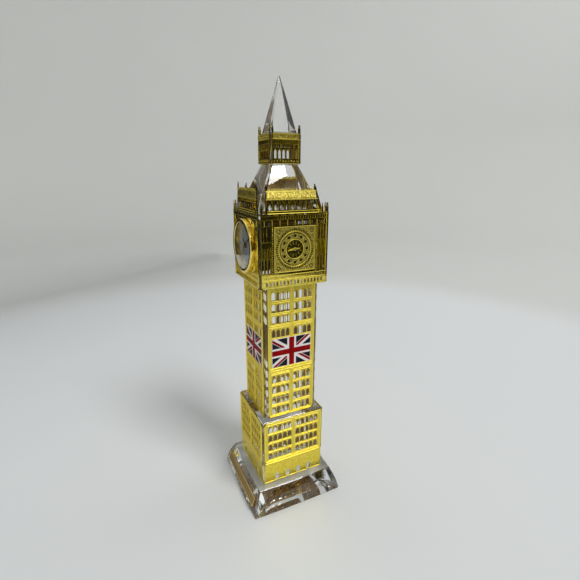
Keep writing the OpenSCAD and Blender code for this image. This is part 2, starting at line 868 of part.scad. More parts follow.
module circuit_board() {
    back = board_front + board_t;
    color([0.1, 0.3, 0.16]) at_seat() {
        slab(board_front, back) intersection() {
            circle(r = plate_r - 0.3);
            rect(-plate_r, -plate_r, 2 * plate_r, plate_r + board_edge);
        }
        slab(back - 0.1, back + 0.6) rect(1.2, -7.6, 2.4, 2.4);
    }
}

module quartz_crystal() {
    r = 0.75;
    color(steel_col) at_seat()
        translate([-5.4, -6.4, -(board_front + board_t + r)]) rotate([0, 90, 0])
            cylinder(h = 5.2, r = r);
}

module battery() {
    d0 = cup_front + cup_t;
    color(steel_col) at_seat() translate(battery_at) {
        slab(d0, d0 + 0.6) circle(d = battery_d - 0.9);
        slab(d0 + 0.5, d0 + battery_h) circle(d = battery_d);
    }
}

module battery_cup() {
    r = battery_d / 2 + 0.3;
    color(gold_col) at_seat() translate(battery_at) difference() {
        union() {
            slab(cup_front, cup_front + cup_t) circle(r = r);
            slab(cup_front, cup_front + cup_h) ring_outline(r, 0.22);
        }
        slab(cup_front + 0.6, cup_front + cup_h + 1) for (a = [0, 60, 120]) rotate(a)
            square([2 * r + 1, 1.2], center = true);
    }
}

glass_base();
glass_plinth();
glass_shaft();
glass_clock_block();
glass_roof();
glass_gallery();
glass_spire();
plinth_panel_front();
plinth_panel_right();
plinth_panel_back();
plinth_panel_left();
shaft_panel_front();
shaft_panel_right();
shaft_panel_back();
shaft_panel_left();
clock_panel_front();
clock_panel_right();
clock_panel_back();
clock_panel_left();
gallery_panel_front();
gallery_panel_right();
gallery_panel_back();
gallery_panel_left();
flag_front();
flag_right();
flag_back();
flag_left();
nameplate();
bezel();
lens();
dial();
insert_case();
grip_ring();
back_cover();
hour_hand();
minute_hand();
second_hand();
movement_plate();
train_bridge();
bridge_screws();
cannon_pinion();
minute_wheel();
hour_wheel();
setting_knob();
centre_wheel();
third_wheel();
seconds_wheel();
intermediate_wheel();
rotor();
stator();
coil();
circuit_board();
quartz_crystal();
battery();
battery_cup();
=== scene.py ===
import math

import bmesh
import bpy
from mathutils import Matrix, Vector


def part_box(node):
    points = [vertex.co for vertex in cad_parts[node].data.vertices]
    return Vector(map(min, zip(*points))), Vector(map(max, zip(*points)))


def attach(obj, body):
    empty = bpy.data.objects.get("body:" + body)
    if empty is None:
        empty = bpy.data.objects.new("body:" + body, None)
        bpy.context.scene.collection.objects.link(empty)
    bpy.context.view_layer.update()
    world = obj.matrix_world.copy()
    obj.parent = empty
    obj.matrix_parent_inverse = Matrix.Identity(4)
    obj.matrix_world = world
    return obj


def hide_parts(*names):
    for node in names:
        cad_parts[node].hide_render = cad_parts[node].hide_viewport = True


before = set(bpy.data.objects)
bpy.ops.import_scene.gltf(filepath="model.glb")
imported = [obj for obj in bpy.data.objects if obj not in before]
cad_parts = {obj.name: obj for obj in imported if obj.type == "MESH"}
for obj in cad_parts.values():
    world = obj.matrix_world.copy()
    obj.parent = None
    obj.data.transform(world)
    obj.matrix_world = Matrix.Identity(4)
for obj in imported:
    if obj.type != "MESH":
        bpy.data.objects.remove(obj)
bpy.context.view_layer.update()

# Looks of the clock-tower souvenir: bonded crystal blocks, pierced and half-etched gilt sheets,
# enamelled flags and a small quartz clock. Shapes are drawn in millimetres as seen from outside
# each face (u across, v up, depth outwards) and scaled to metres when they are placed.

MM = 0.001
SIDES = ["front", "right", "back", "left"]
TOWER = "tower"
INSERT = "insert"

# ---- Scene objects ----


def add_object(name, data):
    """Puts a new object into the scene."""
    added = bpy.data.objects.new(name, data)
    bpy.context.scene.collection.objects.link(added)
    return added


def take_mesh(bm, name):
    """Turns a bmesh into a mesh and frees it."""
    mesh = bpy.data.meshes.new(name)
    bm.to_mesh(mesh)
    bm.free()
    return mesh


# ---- Camera ----

CAMERA_AT = (181.4, -80.9, 179.7)
CAMERA_HEADING = 64.34
CAMERA_PITCH = -16.99
CAMERA_ROLL = 0.30
CAMERA_LENS = 24.0


def make_camera():
    data = bpy.data.cameras.new("camera")
    data.lens = CAMERA_LENS
    data.sensor_width = 36
    data.clip_start = 0.01
    camera = add_object("camera", data)
    turn = Matrix.Rotation(math.radians(CAMERA_HEADING), 4, "Z")
    tilt = Matrix.Rotation(math.radians(90 + CAMERA_PITCH), 4, "X")
    roll = Matrix.Rotation(math.radians(CAMERA_ROLL), 4, "Z")
    camera.matrix_world = Matrix.Translation(Vector(CAMERA_AT) * MM) @ turn @ tilt @ roll
    bpy.context.scene.camera = camera


make_camera()

# ---- Sizes read from the frame ----


def span(node):
    """Lowest and highest corner of a CAD node, in millimetres."""
    lo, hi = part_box(node)
    return lo / MM, hi / MM


def width_at(node, z):
    """Width in millimetres of a CAD node's mesh at the height z."""
    reach = 0.05
    xs = [v.co.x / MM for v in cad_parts[node].data.vertices if abs(v.co.z / MM - z) < reach]
    return max(xs) - min(xs)


# Thickness of the sheets, full height of their relief, and how far they sink into the glass
SHEET = 0.35
RELIEF = 0.6
EMBED = 0.03

# The holes for the clock insert, the axis of its hands and the front of its case
BORE_R = 12.0
BORE_DEPTH = 12.0
SHEET_HOLE_R = 12.25
CASE_LO, CASE_HI = span("insert_case")
AXIS_Z = (CASE_LO.z + CASE_HI.z) / 2
SEAT_Y = CASE_LO.y
SEAT = Matrix.Translation((0, SEAT_Y, AXIS_Z))

# ---- Materials ----


def new_material(name):
    mat = bpy.data.materials.new(name)
    mat.use_nodes = True
    tree = mat.node_tree
    return mat, tree, tree.nodes["Principled BSDF"]


def set_inputs(node, values):
    for name, value in values.items():
        node.inputs[name].default_value = value


def noise(tree, scale, detail=3.0, stretch=(1, 1, 1)):
    """Noise in the object's own coordinates, its scale in cycles per metre."""
    coord = tree.nodes.new("ShaderNodeTexCoord")
    mapping = tree.nodes.new("ShaderNodeMapping")
    mapping.inputs["Scale"].default_value = stretch
    tex = tree.nodes.new("ShaderNodeTexNoise")
    set_inputs(tex, {"Scale": scale, "Detail": detail, "Roughness": 0.55})
    tree.links.new(coord.outputs["Object"], mapping.inputs["Vector"])
    tree.links.new(mapping.outputs["Vector"], tex.inputs["Vector"])
    return tex.outputs["Fac"]


def vary_colour(tree, shader, fac, dark, light, low=0.35, high=0.65):
    ramp = tree.nodes.new("ShaderNodeValToRGB")
    ramp.color_ramp.elements[0].position = low
    ramp.color_ramp.elements[1].position = high
    ramp.color_ramp.elements[0].color = (*dark, 1)
    ramp.color_ramp.elements[1].color = (*light, 1)
    tree.links.new(fac, ramp.inputs["Fac"])
    tree.links.new(ramp.outputs["Color"], shader.inputs["Base Color"])


def vary_roughness(tree, shader, fac, low, high):
    ranges = tree.nodes.new("ShaderNodeMapRange")
    set_inputs(ranges, {"From Min": 0.3, "From Max": 0.7, "To Min": low, "To Max": high})
    tree.links.new(fac, ranges.inputs["Value"])
    tree.links.new(ranges.outputs["Result"], shader.inputs["Roughness"])


def add_bump(tree, shader, fac, distance, strength=1.0):
    bump = tree.nodes.new("ShaderNodeBump")
    set_inputs(bump, {"Strength": strength, "Distance": distance})
    tree.links.new(fac, bump.inputs["Height"])
    tree.links.new(bump.outputs["Normal"], shader.inputs["Normal"])


def surface(name, dark, light, metallic=0.0, rough=(0.3, 0.4), grain=900, stretch=(1, 1, 1),
            bump=0.0, bump_grain=None, coat=0.0, shine=0.5):
    """Opaque material whose colour, roughness and bump vary with noise."""
    mat, tree, shader = new_material(name)
    set_inputs(shader, {"Metallic": metallic, "Specular IOR Level": shine})
    tone = noise(tree, grain, 4, stretch)
    vary_colour(tree, shader, tone, dark, light)
    vary_roughness(tree, shader, noise(tree, grain * 1.7, 3, stretch), *rough)
    if bump:
        add_bump(tree, shader, noise(tree, bump_grain or grain, 2, stretch), bump)
    if coat:
        set_inputs(shader, {"Coat Weight": coat, "Coat Roughness": 0.05})
    return mat


def enamel(name, dark, light, shine):
    return surface(name, dark, light, 0, (0.4, 0.55), 300, bump=0.000008, bump_grain=700,
                   shine=shine)


def glass(name, tint, ior, smudge):
    """Clear polished glass, faintly smudged."""
    mat, tree, shader = new_material(name)
    set_inputs(shader, {"Transmission Weight": 1.0, "IOR": ior})
    vary_colour(tree, shader, noise(tree, 60, 2), tint, (1.0, 1.0, 1.0))
    vary_roughness(tree, shader, noise(tree, 90, 3), 0.0, smudge)
    return mat


GOLD_LIGHT = (0.98, 0.83, 0.13)
GOLD_DARK = (0.82, 0.64, 0.06)
GOLD_PALE = (1.0, 0.87, 0.2)
# Dark end of the stippled field's mottle: a painted reflection, dark speckles standing in for
# polished pits that mirror dark surroundings
GOLD_PAINTED_PIT_REFLECTION = (0.3, 0.2, 0.02)

MATERIALS = {
    "crystal": glass("crystal", (0.97, 0.985, 0.98), 1.52, 0.012),
    "acrylic": glass("acrylic", (0.95, 0.97, 0.98), 1.49, 0.02),
    "etched": surface("etched_ground", GOLD_DARK, GOLD_LIGHT, 1.0, (0.24, 0.4), 700,
                      bump=0.00003, bump_grain=3000),
    "relief": surface("polished_relief", GOLD_DARK, GOLD_PALE, 1.0, (0.02, 0.06), 500,
                      bump=0.0000012, bump_grain=1200),
    # stippled field mottled from painted dark pit reflections up to pale gold
    "stipple": surface("stippled_field", GOLD_PAINTED_PIT_REFLECTION, GOLD_PALE, 1.0, (0.32, 0.5), 1300,
                       bump=0.00016, bump_grain=1700),
    "matte": surface("matte_gold", GOLD_LIGHT, GOLD_PALE, 1.0, (0.36, 0.46), 800,
                     bump=0.00002, bump_grain=1600),
    "back": surface("sheet_back", (0.48, 0.3, 0.07), (0.72, 0.5, 0.13), 1.0, (0.3, 0.5), 900,
                    bump=0.00001, bump_grain=2400),
    "polished": surface("polished_gold", (0.94, 0.74, 0.2), (0.98, 0.82, 0.28), 1.0,
                        (0.04, 0.1), 300, bump=0.000002, bump_grain=900),
    "plate": surface("nameplate_brass", (0.26, 0.17, 0.05), (0.36, 0.25, 0.08), 1.0, (0.3, 0.45),
                     900, (0.08, 1, 1), bump=0.000012, bump_grain=2600),
    "red": enamel("enamel_red", (0.25, 0.002, 0.003), (0.32, 0.003, 0.004), 0.06),
    "white": enamel("enamel_white", (0.84, 0.78, 0.77), (0.93, 0.88, 0.87), 0.2),
    "navy": enamel("enamel_navy", (0.002, 0.003, 0.01), (0.004, 0.006, 0.02), 0.2),
    "dial": surface("dial_white", (0.74, 0.79, 0.82), (0.82, 0.86, 0.88), 0, (0.4, 0.55), 500,
                    bump=0.000003, bump_grain=4000),
    "ink": surface("dial_ink", (0.01, 0.01, 0.012), (0.025, 0.025, 0.03), 0, (0.35, 0.5), 900,
                   bump=0.000003),
    "hand": surface("hand_black", (0.012, 0.012, 0.014), (0.03, 0.03, 0.034), 0, (0.25, 0.4),
                    800, bump=0.000003, coat=0.3),
    "second": surface("hand_red", (0.5, 0.02, 0.02), (0.62, 0.04, 0.03), 0, (0.3, 0.45), 800,
                      bump=0.000003, coat=0.3),
    "plastic": surface("black_plastic", (0.018, 0.018, 0.02), (0.03, 0.03, 0.033), 0,
                       (0.38, 0.55), 1200, bump=0.00001, bump_grain=4500),
    "rubber": surface("grip_rubber", (0.03, 0.03, 0.032), (0.05, 0.05, 0.052), 0, (0.6, 0.8),
                      1500, bump=0.00002, bump_grain=3500),
    "steel": surface("steel", (0.5, 0.5, 0.51), (0.66, 0.66, 0.67), 1.0, (0.24, 0.4), 1500,
                     (1, 1, 0.08), bump=0.000005, bump_grain=3000),
    "brass": surface("gear_brass", (0.66, 0.45, 0.17), (0.8, 0.58, 0.26), 1.0, (0.22, 0.36),
                     1500, (0.1, 1, 1), bump=0.000004, bump_grain=3500),
    "copper": surface("copper_wire", (0.45, 0.16, 0.06), (0.8, 0.38, 0.18), 1.0, (0.2, 0.35),
                      9000, (1, 0.02, 0.02), bump=0.00002, bump_grain=9000),
    "board": surface("green_board", (0.008, 0.07, 0.03), (0.02, 0.13, 0.06), 0, (0.35, 0.55),
                     2500, bump=0.000008, coat=0.4),
}

# ---- Outlines ----


def rect(x, z, w, h):
    return [(x, z), (x + w, z), (x + w, z + h), (x, z + h)]


def arc(x, z, r, start, end, n):
    turns = [math.radians(start + (end - start) * i / n) for i in range(n + 1)]
    return [(x + r * math.cos(a), z + r * math.sin(a)) for a in turns]


def circle(x, z, r, n):
    return arc(x, z, r, 0, 360, n)[:-1]


def lancet(x, z, w, h, n=4):
    """Pointed arch, counter-clockwise from its lower left corner."""
    spring = z + h - w * math.sin(math.radians(60))
    right = arc(x - w / 2, spring, w, 0, 60, n)
    left = [(2 * x - u, v) for u, v in reversed(right[:-1])]
    return [(x - w / 2, z), (x + w / 2, z)] + right + left


def turned(points, degrees, z=0.0):
    """The outline turned about the origin, then raised by z."""
    c, s = math.cos(math.radians(degrees)), math.sin(math.radians(degrees))
    return [(u * c - v * s, z + u * s + v * c) for u, v in points]


def inset(points, d):
    """The outline moved inwards by d, or outwards where d is negative."""
    moved = []
    for i, here in enumerate(points):
        before, after = Vector(points[i - 1]), Vector(points[(i + 1) % len(points)])
        here = Vector(here)
        a, b = (here - before).normalized(), (after - here).normalized()
        na, nb = Vector((-a.y, a.x)), Vector((-b.y, b.x))
        moved.append(tuple(here + (na + nb) * (d / max(1 + na.dot(nb), 0.35))))
    return moved


# ---- Solids ----


def skin(bm, loops):
    """Faces between neighbouring loops of vertices."""
    faces = []
    for a, b in zip(loops, loops[1:]):
        for i in range(len(a)):
            j = (i + 1) % len(a)
            faces.append(bm.faces.new((a[i], a[j], b[j], b[i])))
    return faces


def stack(bm, rings, mat, closed=False):
    """Solid through rings of (outline, depth) with the same number of points each."""
    loops = [[bm.verts.new((u, -d, v)) for u, v in points] for points, d in rings]
    caps = [] if closed else [bm.faces.new(loops[0]), bm.faces.new(loops[-1])]
    for face in caps + skin(bm, loops + loops[:1] if closed else loops):
        face.material_index = mat


def prism(bm, points, d0, d1, bevel=0.0, mat=0):
    """Solid over an outline from depth d0 out to d1, its front edge bevelled."""
    front = [(points, d1 - bevel), (inset(points, bevel), d1)] if bevel else [(points, d1)]
    stack(bm, [(points, d0)] + front, mat)


def ring(bm, outer, inner, d0, d1, bevel=0.0, mat=0):
    """Frame between two outlines with the same number of points."""
    stack(bm, [(outer, d0), (outer, d1 - bevel), (inset(outer, bevel), d1),
               (inset(inner, -bevel), d1), (inner, d1 - bevel), (inner, d0)], mat, closed=True)


def bead(bm, x, z, r, d0, mat=0):
    """Low round boss."""
    n = 8
    stack(bm, [(circle(x, z, r, n), d0 - 0.1), (circle(x, z, r, n), d0),
               (circle(x, z, r * 0.75, n), d0 + r * 0.5),
               (circle(x, z, r * 0.3, n), d0 + r * 0.75)], mat)


UPRIGHT = Matrix.Rotation(math.pi / 2, 4, "X")


def add_curve(bm, data, matrix, mat):
    """Adds the mesh of a filled curve, frees the curve and gives back the new faces."""
    carrier = bpy.data.objects.new("carrier", data)
    mesh = bpy.data.meshes.new_from_object(carrier)
    mesh.transform(matrix)
    first = len(bm.faces)
    bm.from_mesh(mesh)
    bm.faces.ensure_lookup_table()
    new_faces = bm.faces[first:]
    for face in new_faces:
        face.material_index = mat
    bpy.data.objects.remove(carrier)
    bpy.data.curves.remove(data)
    bpy.data.meshes.remove(mesh)
    return new_faces


def pierced(bm, outer, holes, d0, d1, mat=0):
    """Flat sheet with holes through it."""
    data = bpy.data.curves.new("sheet", "CURVE")
    data.dimensions = "2D"
    data.fill_mode = "BOTH"
    data.extrude = (d1 - d0) / 2
    for points in [outer, *holes]:
        spline = data.splines.new("POLY")
        spline.points.add(len(points) - 1)
        spline.points.foreach_set("co", [c for u, v in points for c in (u, v, 0, 1)])
        spline.use_cyclic_u = True
    place = Matrix.Translation((0, -(d0 + d1) / 2, 0)) @ UPRIGHT
    new_faces = add_curve(bm, data, place, mat)
    verts = list({v for face in new_faces for v in face.verts})
    bmesh.ops.remove_doubles(bm, verts=verts, dist=0.0005)


def merge(bm, other, matrix):
    """Adds another bmesh, moved by a matrix, and frees it."""
    mesh = take_mesh(other, "part")
    mesh.transform(matrix)
    bm.from_mesh(mesh)
    bpy.data.meshes.remove(mesh)


def make_piece(name, bm, materials, body, replaces, matrix=None, sharp=30):
    """Places a bmesh drawn in millimetres as a piece that rides on a body."""
    bmesh.ops.recalc_face_normals(bm, faces=bm.faces)
    limit = math.radians(sharp)
    for face in bm.faces:
        face.smooth = True
    for edge in bm.edges:
        edge.smooth = len(edge.link_faces) == 2 and edge.calc_face_angle(0) < limit
    mesh = take_mesh(bm, name)
    mesh.transform(Matrix.Scale(MM, 4) @ (matrix or Matrix.Identity(4)))
    for key in materials:
        mesh.materials.append(MATERIALS[key])
    piece = add_object(name, mesh)
    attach(piece, body)
    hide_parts(*replaces)
    return piece


def face_matrix(k, back, z):
    """Takes a face's drawing to side k of the tower."""
    return Matrix.Rotation(math.radians(90 * k), 4, "Z") @ Matrix.Translation((0, -back, z))


# ---- Glass ----

# Overlap of bonded blocks, chamfer of the flat blocks and of the mouth of the clock's hole
BOND = 0.02
CHAMFER = 0.4
MOUTH = 0.25


def frustum(bm, w0, w1, z0, z1):
    """Square block with all edges chamfered."""
    corners = ((-1, -1), (1, -1), (1, 1), (-1, 1))
    low, high = [[bm.verts.new((sx * w / 2, sy * w / 2, z)) for sx, sy in corners]
                 for w, z in ((w0, z0), (w1, z1))]
    bm.faces.new(low)
    bm.faces.new(high)
    skin(bm, [low, high])
    bmesh.ops.recalc_face_normals(bm, faces=bm.faces)
    bmesh.ops.bevel(bm, geom=bm.edges[:], offset=CHAMFER, offset_type="OFFSET", segments=1,
                    affect="EDGES", profile=0.5)


def glass_block(node):
    """Polished block, bonded to the one below by a hair's overlap."""
    lo, hi = span(node)
    bm = bmesh.new()
    frustum(bm, width_at(node, lo.z), width_at(node, hi.z), lo.z - BOND, hi.z)
    return bm


def drill(bm, face_y):
    """Gives back the block with the blind hole for the clock, its mouth chamfered."""
    cutter_bm = bmesh.new()
    profile = [(BORE_R + MOUTH + 1, -1), (BORE_R + MOUTH, 0), (BORE_R, MOUTH), (BORE_R, BORE_DEPTH)]
    stack(cutter_bm, [(circle(0, AXIS_Z, r, 96), -face_y - d) for r, d in profile], 0)
    bmesh.ops.recalc_face_normals(cutter_bm, faces=cutter_bm.faces)
    work = add_object("work", take_mesh(bm, "block"))
    cutter = add_object("cutter", take_mesh(cutter_bm, "tool"))
    cut = work.modifiers.new("hole", "BOOLEAN")
    cut.operation = "DIFFERENCE"
    cut.solver = "EXACT"
    cut.object = cutter
    bpy.context.view_layer.update()
    depsgraph = bpy.context.evaluated_depsgraph_get()
    result = bpy.data.meshes.new_from_object(work.evaluated_get(depsgraph))
    drilled = bmesh.new()
    drilled.from_mesh(result)
    # a mesh's removal takes its object with it
    for mesh in (work.data, cutter.data, result):
        bpy.data.meshes.remove(mesh)
    return drilled


# Swell of the sloping faces, chamfer and hollow of the foot for each pillowed block
PILLOWS = {
    "glass_base": (0.5, 0.5, 2.6),
    "glass_roof": (0.35, 0.45, 0),
    "glass_spire": (0.06, 0.25, 0),
}
PILLOW_STEPS = 8
PILLOW_LEVELS = 10
HOLLOW_RINGS = 8
# Shares of the chamfer and of the swell that the end faces keep
END_CHAMFER = 0.7
END_CORNER = 0.6
END_SAG = 0.8


def pillow_ring(bm, w, z, sag, cut):
    """Loop of a square whose sides swell by sag between chamfered corners."""
    loop = []
    for k in range(4):
        turn = Matrix.Rotation(math.radians(90 * k), 3, "Z")
        for i in range(PILLOW_STEPS + 1):
            s = 2 * i / PILLOW_STEPS - 1
            loop.append(bm.verts.new(turn @ Vector((w - sag * s * s, s * (w - sag - cut), z))))
    return loop


def pillow_block(node, sag, chamfer, hollow):
    """Polished block whose sloping faces swell between their edges, over a hollowed foot."""
    lo, hi = span(node)
    w0, w1 = width_at(node, lo.z) / 2, width_at(node, hi.z) / 2
    foot = lo.z - (0 if node == "glass_base" else BOND)
    cut, corner = chamfer * END_CHAMFER, chamfer * END_CORNER
    low, high = foot + cut, hi.z - cut
    bm = bmesh.new()
    loops = [pillow_ring(bm, w0 - sag - cut, foot, sag * END_SAG, corner)]
    for i in range(PILLOW_LEVELS + 1):
        t = i / PILLOW_LEVELS
        z = low + (high - low) * t
        w = w0 + (w1 - w0) * (z - lo.z) / (hi.z - lo.z) - sag * (2 * t - 1) ** 2
        loops.append(pillow_ring(bm, w, z, sag, chamfer))
    loops.append(pillow_ring(bm, w1 - sag - cut, hi.z, sag * END_SAG, corner))
    if hollow:
        rim = [v.co.copy() for v in loops[0]]
        for i in range(1, HOLLOW_RINGS):
            share = 1 - i / HOLLOW_RINGS
            rise = foot + hollow * (1 - share * share)
            loops.insert(0, [bm.verts.new((p.x * share, p.y * share, rise)) for p in rim])
    bm.faces.new(loops[0])
    bm.faces.new(loops[-1])
    skin(bm, loops)
    return bm


def glass_piece(node, bm, sharp):
    make_piece(node.replace("glass", "crystal"), bm, ["crystal"], TOWER, [node],
               sharp=sharp)


def make_glass():
    for node in ["glass_plinth", "glass_shaft", "glass_gallery"]:
        glass_piece(node, glass_block(node), 30)
    for node, shape in PILLOWS.items():
        glass_piece(node, pillow_block(node, *shape), 12)
    bm = drill(glass_block("glass_clock_block"), -span("glass_clock_block")[0].y)
    glass_piece("glass_clock_block", bm, 20)


# ---- Etched sheets ----

# Finishes of a sheet's faces, by their place in GOLD_SET
GROUND, RAISED, STIPPLED, BRIGHT, BACK = range(5)
GOLD_SET = ["etched", "relief", "stipple", "matte", "back"]

# Depth where relief starts, tops of low and middle relief and of window rims, and the bevel
BASE = 0.1
LOW = 0.45
MIDDLE = 0.5
RIM_TOP = 0.52
EDGE = 0.04
# Depth and top of the stippled fields
FIELD_BASE = 0.2
FIELD_TOP = 0.42


class Sheet:
    """Collects the holes and the relief of one etched sheet."""

    def __init__(self, relief=RAISED):
        self.bm = bmesh.new()
        self.holes = []
        self.relief = relief

    def solid(self, points, top, mat=None, base=BASE, bevel=EDGE):
        prism(self.bm, points, base, top, bevel, self.relief if mat is None else mat)

    def bar(self, x, z, w, h, top=RELIEF, mat=None):
        self.solid(rect(x, z, w, h), top, mat, bevel=0 if top == LOW else EDGE)

    def frame(self, outer, inner, top, mat=None):
        ring(self.bm, outer, inner, BASE, top, EDGE, self.relief if mat is None else mat)

    def window(self, x, z, w, h, rim=0.0):
        """Pierced lancet, with a raised rim where one is given."""
        self.holes.append(lancet(x, z, w, h))
        if rim:
            self.frame(lancet(x, z - rim, w + 2 * rim, h + 2.3 * rim),
                       lancet(x, z + 0.01, w - 0.02, h - 0.02), RIM_TOP)

    def diamond(self, x, z, r, top, mat=None):
        self.solid(circle(x, z, r, 4), top, mat, FIELD_BASE, 0.08)

    def beads(self, points, r, d0):
        for x, z in points:
            bead(self.bm, x, z, r, d0, RAISED)

    def pin(self, x, z, w, h):
        """Pinnacle with two collars and a tapering point."""
        half = [(w * 0.5, -0.4), (w * 0.5, h * 0.5), (w * 0.3, h * 0.62), (w * 0.16, h)]
        outline = [(x + u, z + v) for u, v in half] + [(x - u, z + v) for u, v in half[::-1]]
        self.solid(outline, SHEET, base=0, bevel=0)
        for step in (0.18, 0.48):
            collar = rect(x - w * 0.6, z + h * step, w * 1.2, 0.3)
            self.solid(collar, SHEET + 0.12, base=0, bevel=0)

    def sheet(self, outline, mat=GROUND, d0=-EMBED):
        """Adds the pierced sheet itself, with the finish of its back on the side of the glass."""
        pierced(self.bm, outline, self.holes, d0, SHEET, mat)
        for face in self.bm.faces:
            if all(v.co.y > -d0 - 0.001 for v in face.verts):
                face.material_index = BACK


def row_centres(field, mullion, count):
    """Middles and pitch of a row of windows in two groups."""
    pitch = (field - mullion) / 2 / count
    return [s * (mullion / 2 + (i + 0.5) * pitch) for s in (-1, 1) for i in range(count)], pitch


def even(count, pitch):
    return [(i - (count - 1) / 2) * pitch for i in range(count)]


# A storey: share of the pitch that a window takes, radius of the eyes, and heights above the
# windows' tops of the eyes, of the two bars and of the dots between them
WINDOW_SHARE = 0.85
EYE_R = 0.2
EYE_AT, LOWER_BAR, DOTS, UPPER_BAR = -0.15, 0.4, 0.86, 1.16
ROW_BAR = 0.16


def window_row(sheet, field, mullion, count, z, h, band):
    """One storey: lancets, eyes in the spandrels and, with band, a dotted band above."""
    centres, pitch = row_centres(field, mullion, count)
    w, top = pitch * WINDOW_SHARE, z + h
    for x in centres:
        sheet.window(x, z, w, h, (pitch - w) / 2 - 0.01)
    group = (field - mullion) / 2
    for s in (-1, 1):
        for i in range(1, count):
            sheet.holes.append(circle(s * (mullion / 2 + i * pitch), top + EYE_AT, EYE_R, 8))
        start = mullion / 2 if s > 0 else -field / 2
        sheet.bar(start, top + LOWER_BAR, group, ROW_BAR, MIDDLE)
        if band:
            for i in range(2 * count):
                sheet.holes.append(circle(start + (i + 0.5) * pitch / 2, top + DOTS, EYE_R, 6))
            sheet.bar(start, top + UPPER_BAR, group, ROW_BAR, MIDDLE)


PLINTH_BORDER = 2.1
PLINTH_MULLION = 2.0
PLINTH_LEDGE = 12.2
PLINTH_ROWS = [15.1 + 5.65 * i for i in range(4)]
PLINTH_WINDOW_H = 4.3
DOOR_W, DOOR_H, DOOR_PITCH = 2.3, 4.6, 6.6


def plinth_sheet(width, height):
    """Four storeys in a frame, above a plain foot with four doors."""
    sheet = Sheet(BRIGHT)
    half, field = width / 2, width - 2 * PLINTH_BORDER
    for z in PLINTH_ROWS:
        window_row(sheet, field, PLINTH_MULLION, 5, z, PLINTH_WINDOW_H, False)
    for x in even(4, DOOR_PITCH):
        sheet.window(x, 0.7, DOOR_W, DOOR_H, 0.3)
    rise = height - PLINTH_LEDGE
    for z, h in ((PLINTH_LEDGE, 0.6), (PLINTH_LEDGE + 1.35, 0.7), (height - 1.0, 1.0)):
        sheet.bar(-half, z, width, h)
    for s in (-1, 1):
        sheet.bar(s * (half - 0.45) - 0.45, PLINTH_LEDGE, 0.9, rise)
        sheet.bar(s * (half - 1.45) - 0.15, PLINTH_LEDGE + 2, 0.3, rise - 2.4, MIDDLE)
        sheet.bar(s * 0.5 - 0.2, PLINTH_LEDGE + 2, 0.4, rise - 2.4)
    sheet.bar(-half, 0, width, 0.4, MIDDLE)
    sheet.sheet(rect(-half, 0, width, height))
    return sheet.bm


SHAFT_BORDER = 1.9
SHAFT_MULLION = 2.0
SHAFT_WINDOW_H = 4.6
SHAFT_LOW_ROWS = [1.9 + 6.25 * i for i in range(4)]
SHAFT_MID_ROW = 46.6
SHAFT_HIGH_ROWS = [53.9 + 6.2 * i for i in range(3)]
FLAG_FOOT = 29.8
FLAG_TOP = 45.8


def shaft_sheet(width, height):
    """Storeys below and above the flag, with a band of diamonds at each end of its field."""
    sheet = Sheet(BRIGHT)
    half, field = width / 2, width - 2 * SHAFT_BORDER
    rows = [(z, True) for z in [*SHAFT_LOW_ROWS, *SHAFT_HIGH_ROWS]] + [(SHAFT_MID_ROW, False)]
    for z, band in rows:
        window_row(sheet, field, SHAFT_MULLION, 4, z, SHAFT_WINDOW_H, band)
    for s in (-1, 1):
        sheet.bar(s * (half - 0.4) - 0.4, 0, 0.8, height)
        sheet.bar(s * (half - 1.25) - 0.15, 0, 0.3, height, RIM_TOP)
        for z0, z1 in ((1, FLAG_FOOT - 2.2), (FLAG_TOP + 0.4, height)):
            sheet.bar(s * 0.5 - 0.2, z0, 0.4, z1 - z0)
    for z, h in ((0, 0.5), (1.0, 0.3), (FLAG_FOOT - 2.2, 0.4), (FLAG_FOOT - 0.9, 0.4),
                 (SHAFT_MID_ROW + 5.3, 0.35), (SHAFT_MID_ROW + 6.3, 0.35), (height - 0.6, 0.6)):
        sheet.bar(-half, z, width, h)
    lattice(sheet, FLAG_FOOT - 1.8, field, 0.9)
    lattice(sheet, SHAFT_MID_ROW + 5.6, field, 0.75)
    sheet.sheet(rect(-half, 0, width, height))
    return sheet.bm


def lattice(sheet, z, w, size):
    """Band of small raised diamonds."""
    for x in even(int(w / size), size):
        sheet.diamond(x, z + size / 2, size * 0.42, MIDDLE)


# ---- Clock stage ----

CLOCK_FIELD = 20.8
# Pilasters: middle, pitch of their flutes, foot and top, and the slots (foot and height), all
# heights from the axis of the hands
PILASTER_AT = 14.8
FLUTE = 1.57
PILASTER_FOOT, PILASTER_TOP = -12.2, 11.2
UPPER_SLOTS = (4.4, 6.2)
LOWER_SLOTS = (-11.3, 7.0)
BEAD_PITCH = 0.85
FRIEZE_PITCH = 3.9
FRIEZE_W = 2.7
DIAL_GROOVE_R = 9.8
DIAL_RING_R = 8.7
DIAL_CENTRE_R = 4.9
NUMERAL_AT = 6.4
PETAL_AT = 3.1
# The etched hands: angle anticlockwise from twelve, length and width
ETCHED_HANDS = ((98, 4.0, 0.85), (-84, 2.8, 0.7))


def outside(a, b, across, r):
    """Parts of the span a..b, at a distance across the axis, that lie outside radius r."""
    if r <= abs(across):
        return [(a, b)]
    half = math.sqrt(r * r - across * across)
    return [(p, q) for p, q in ((a, -half), (half, b)) if q - p > 0.2]


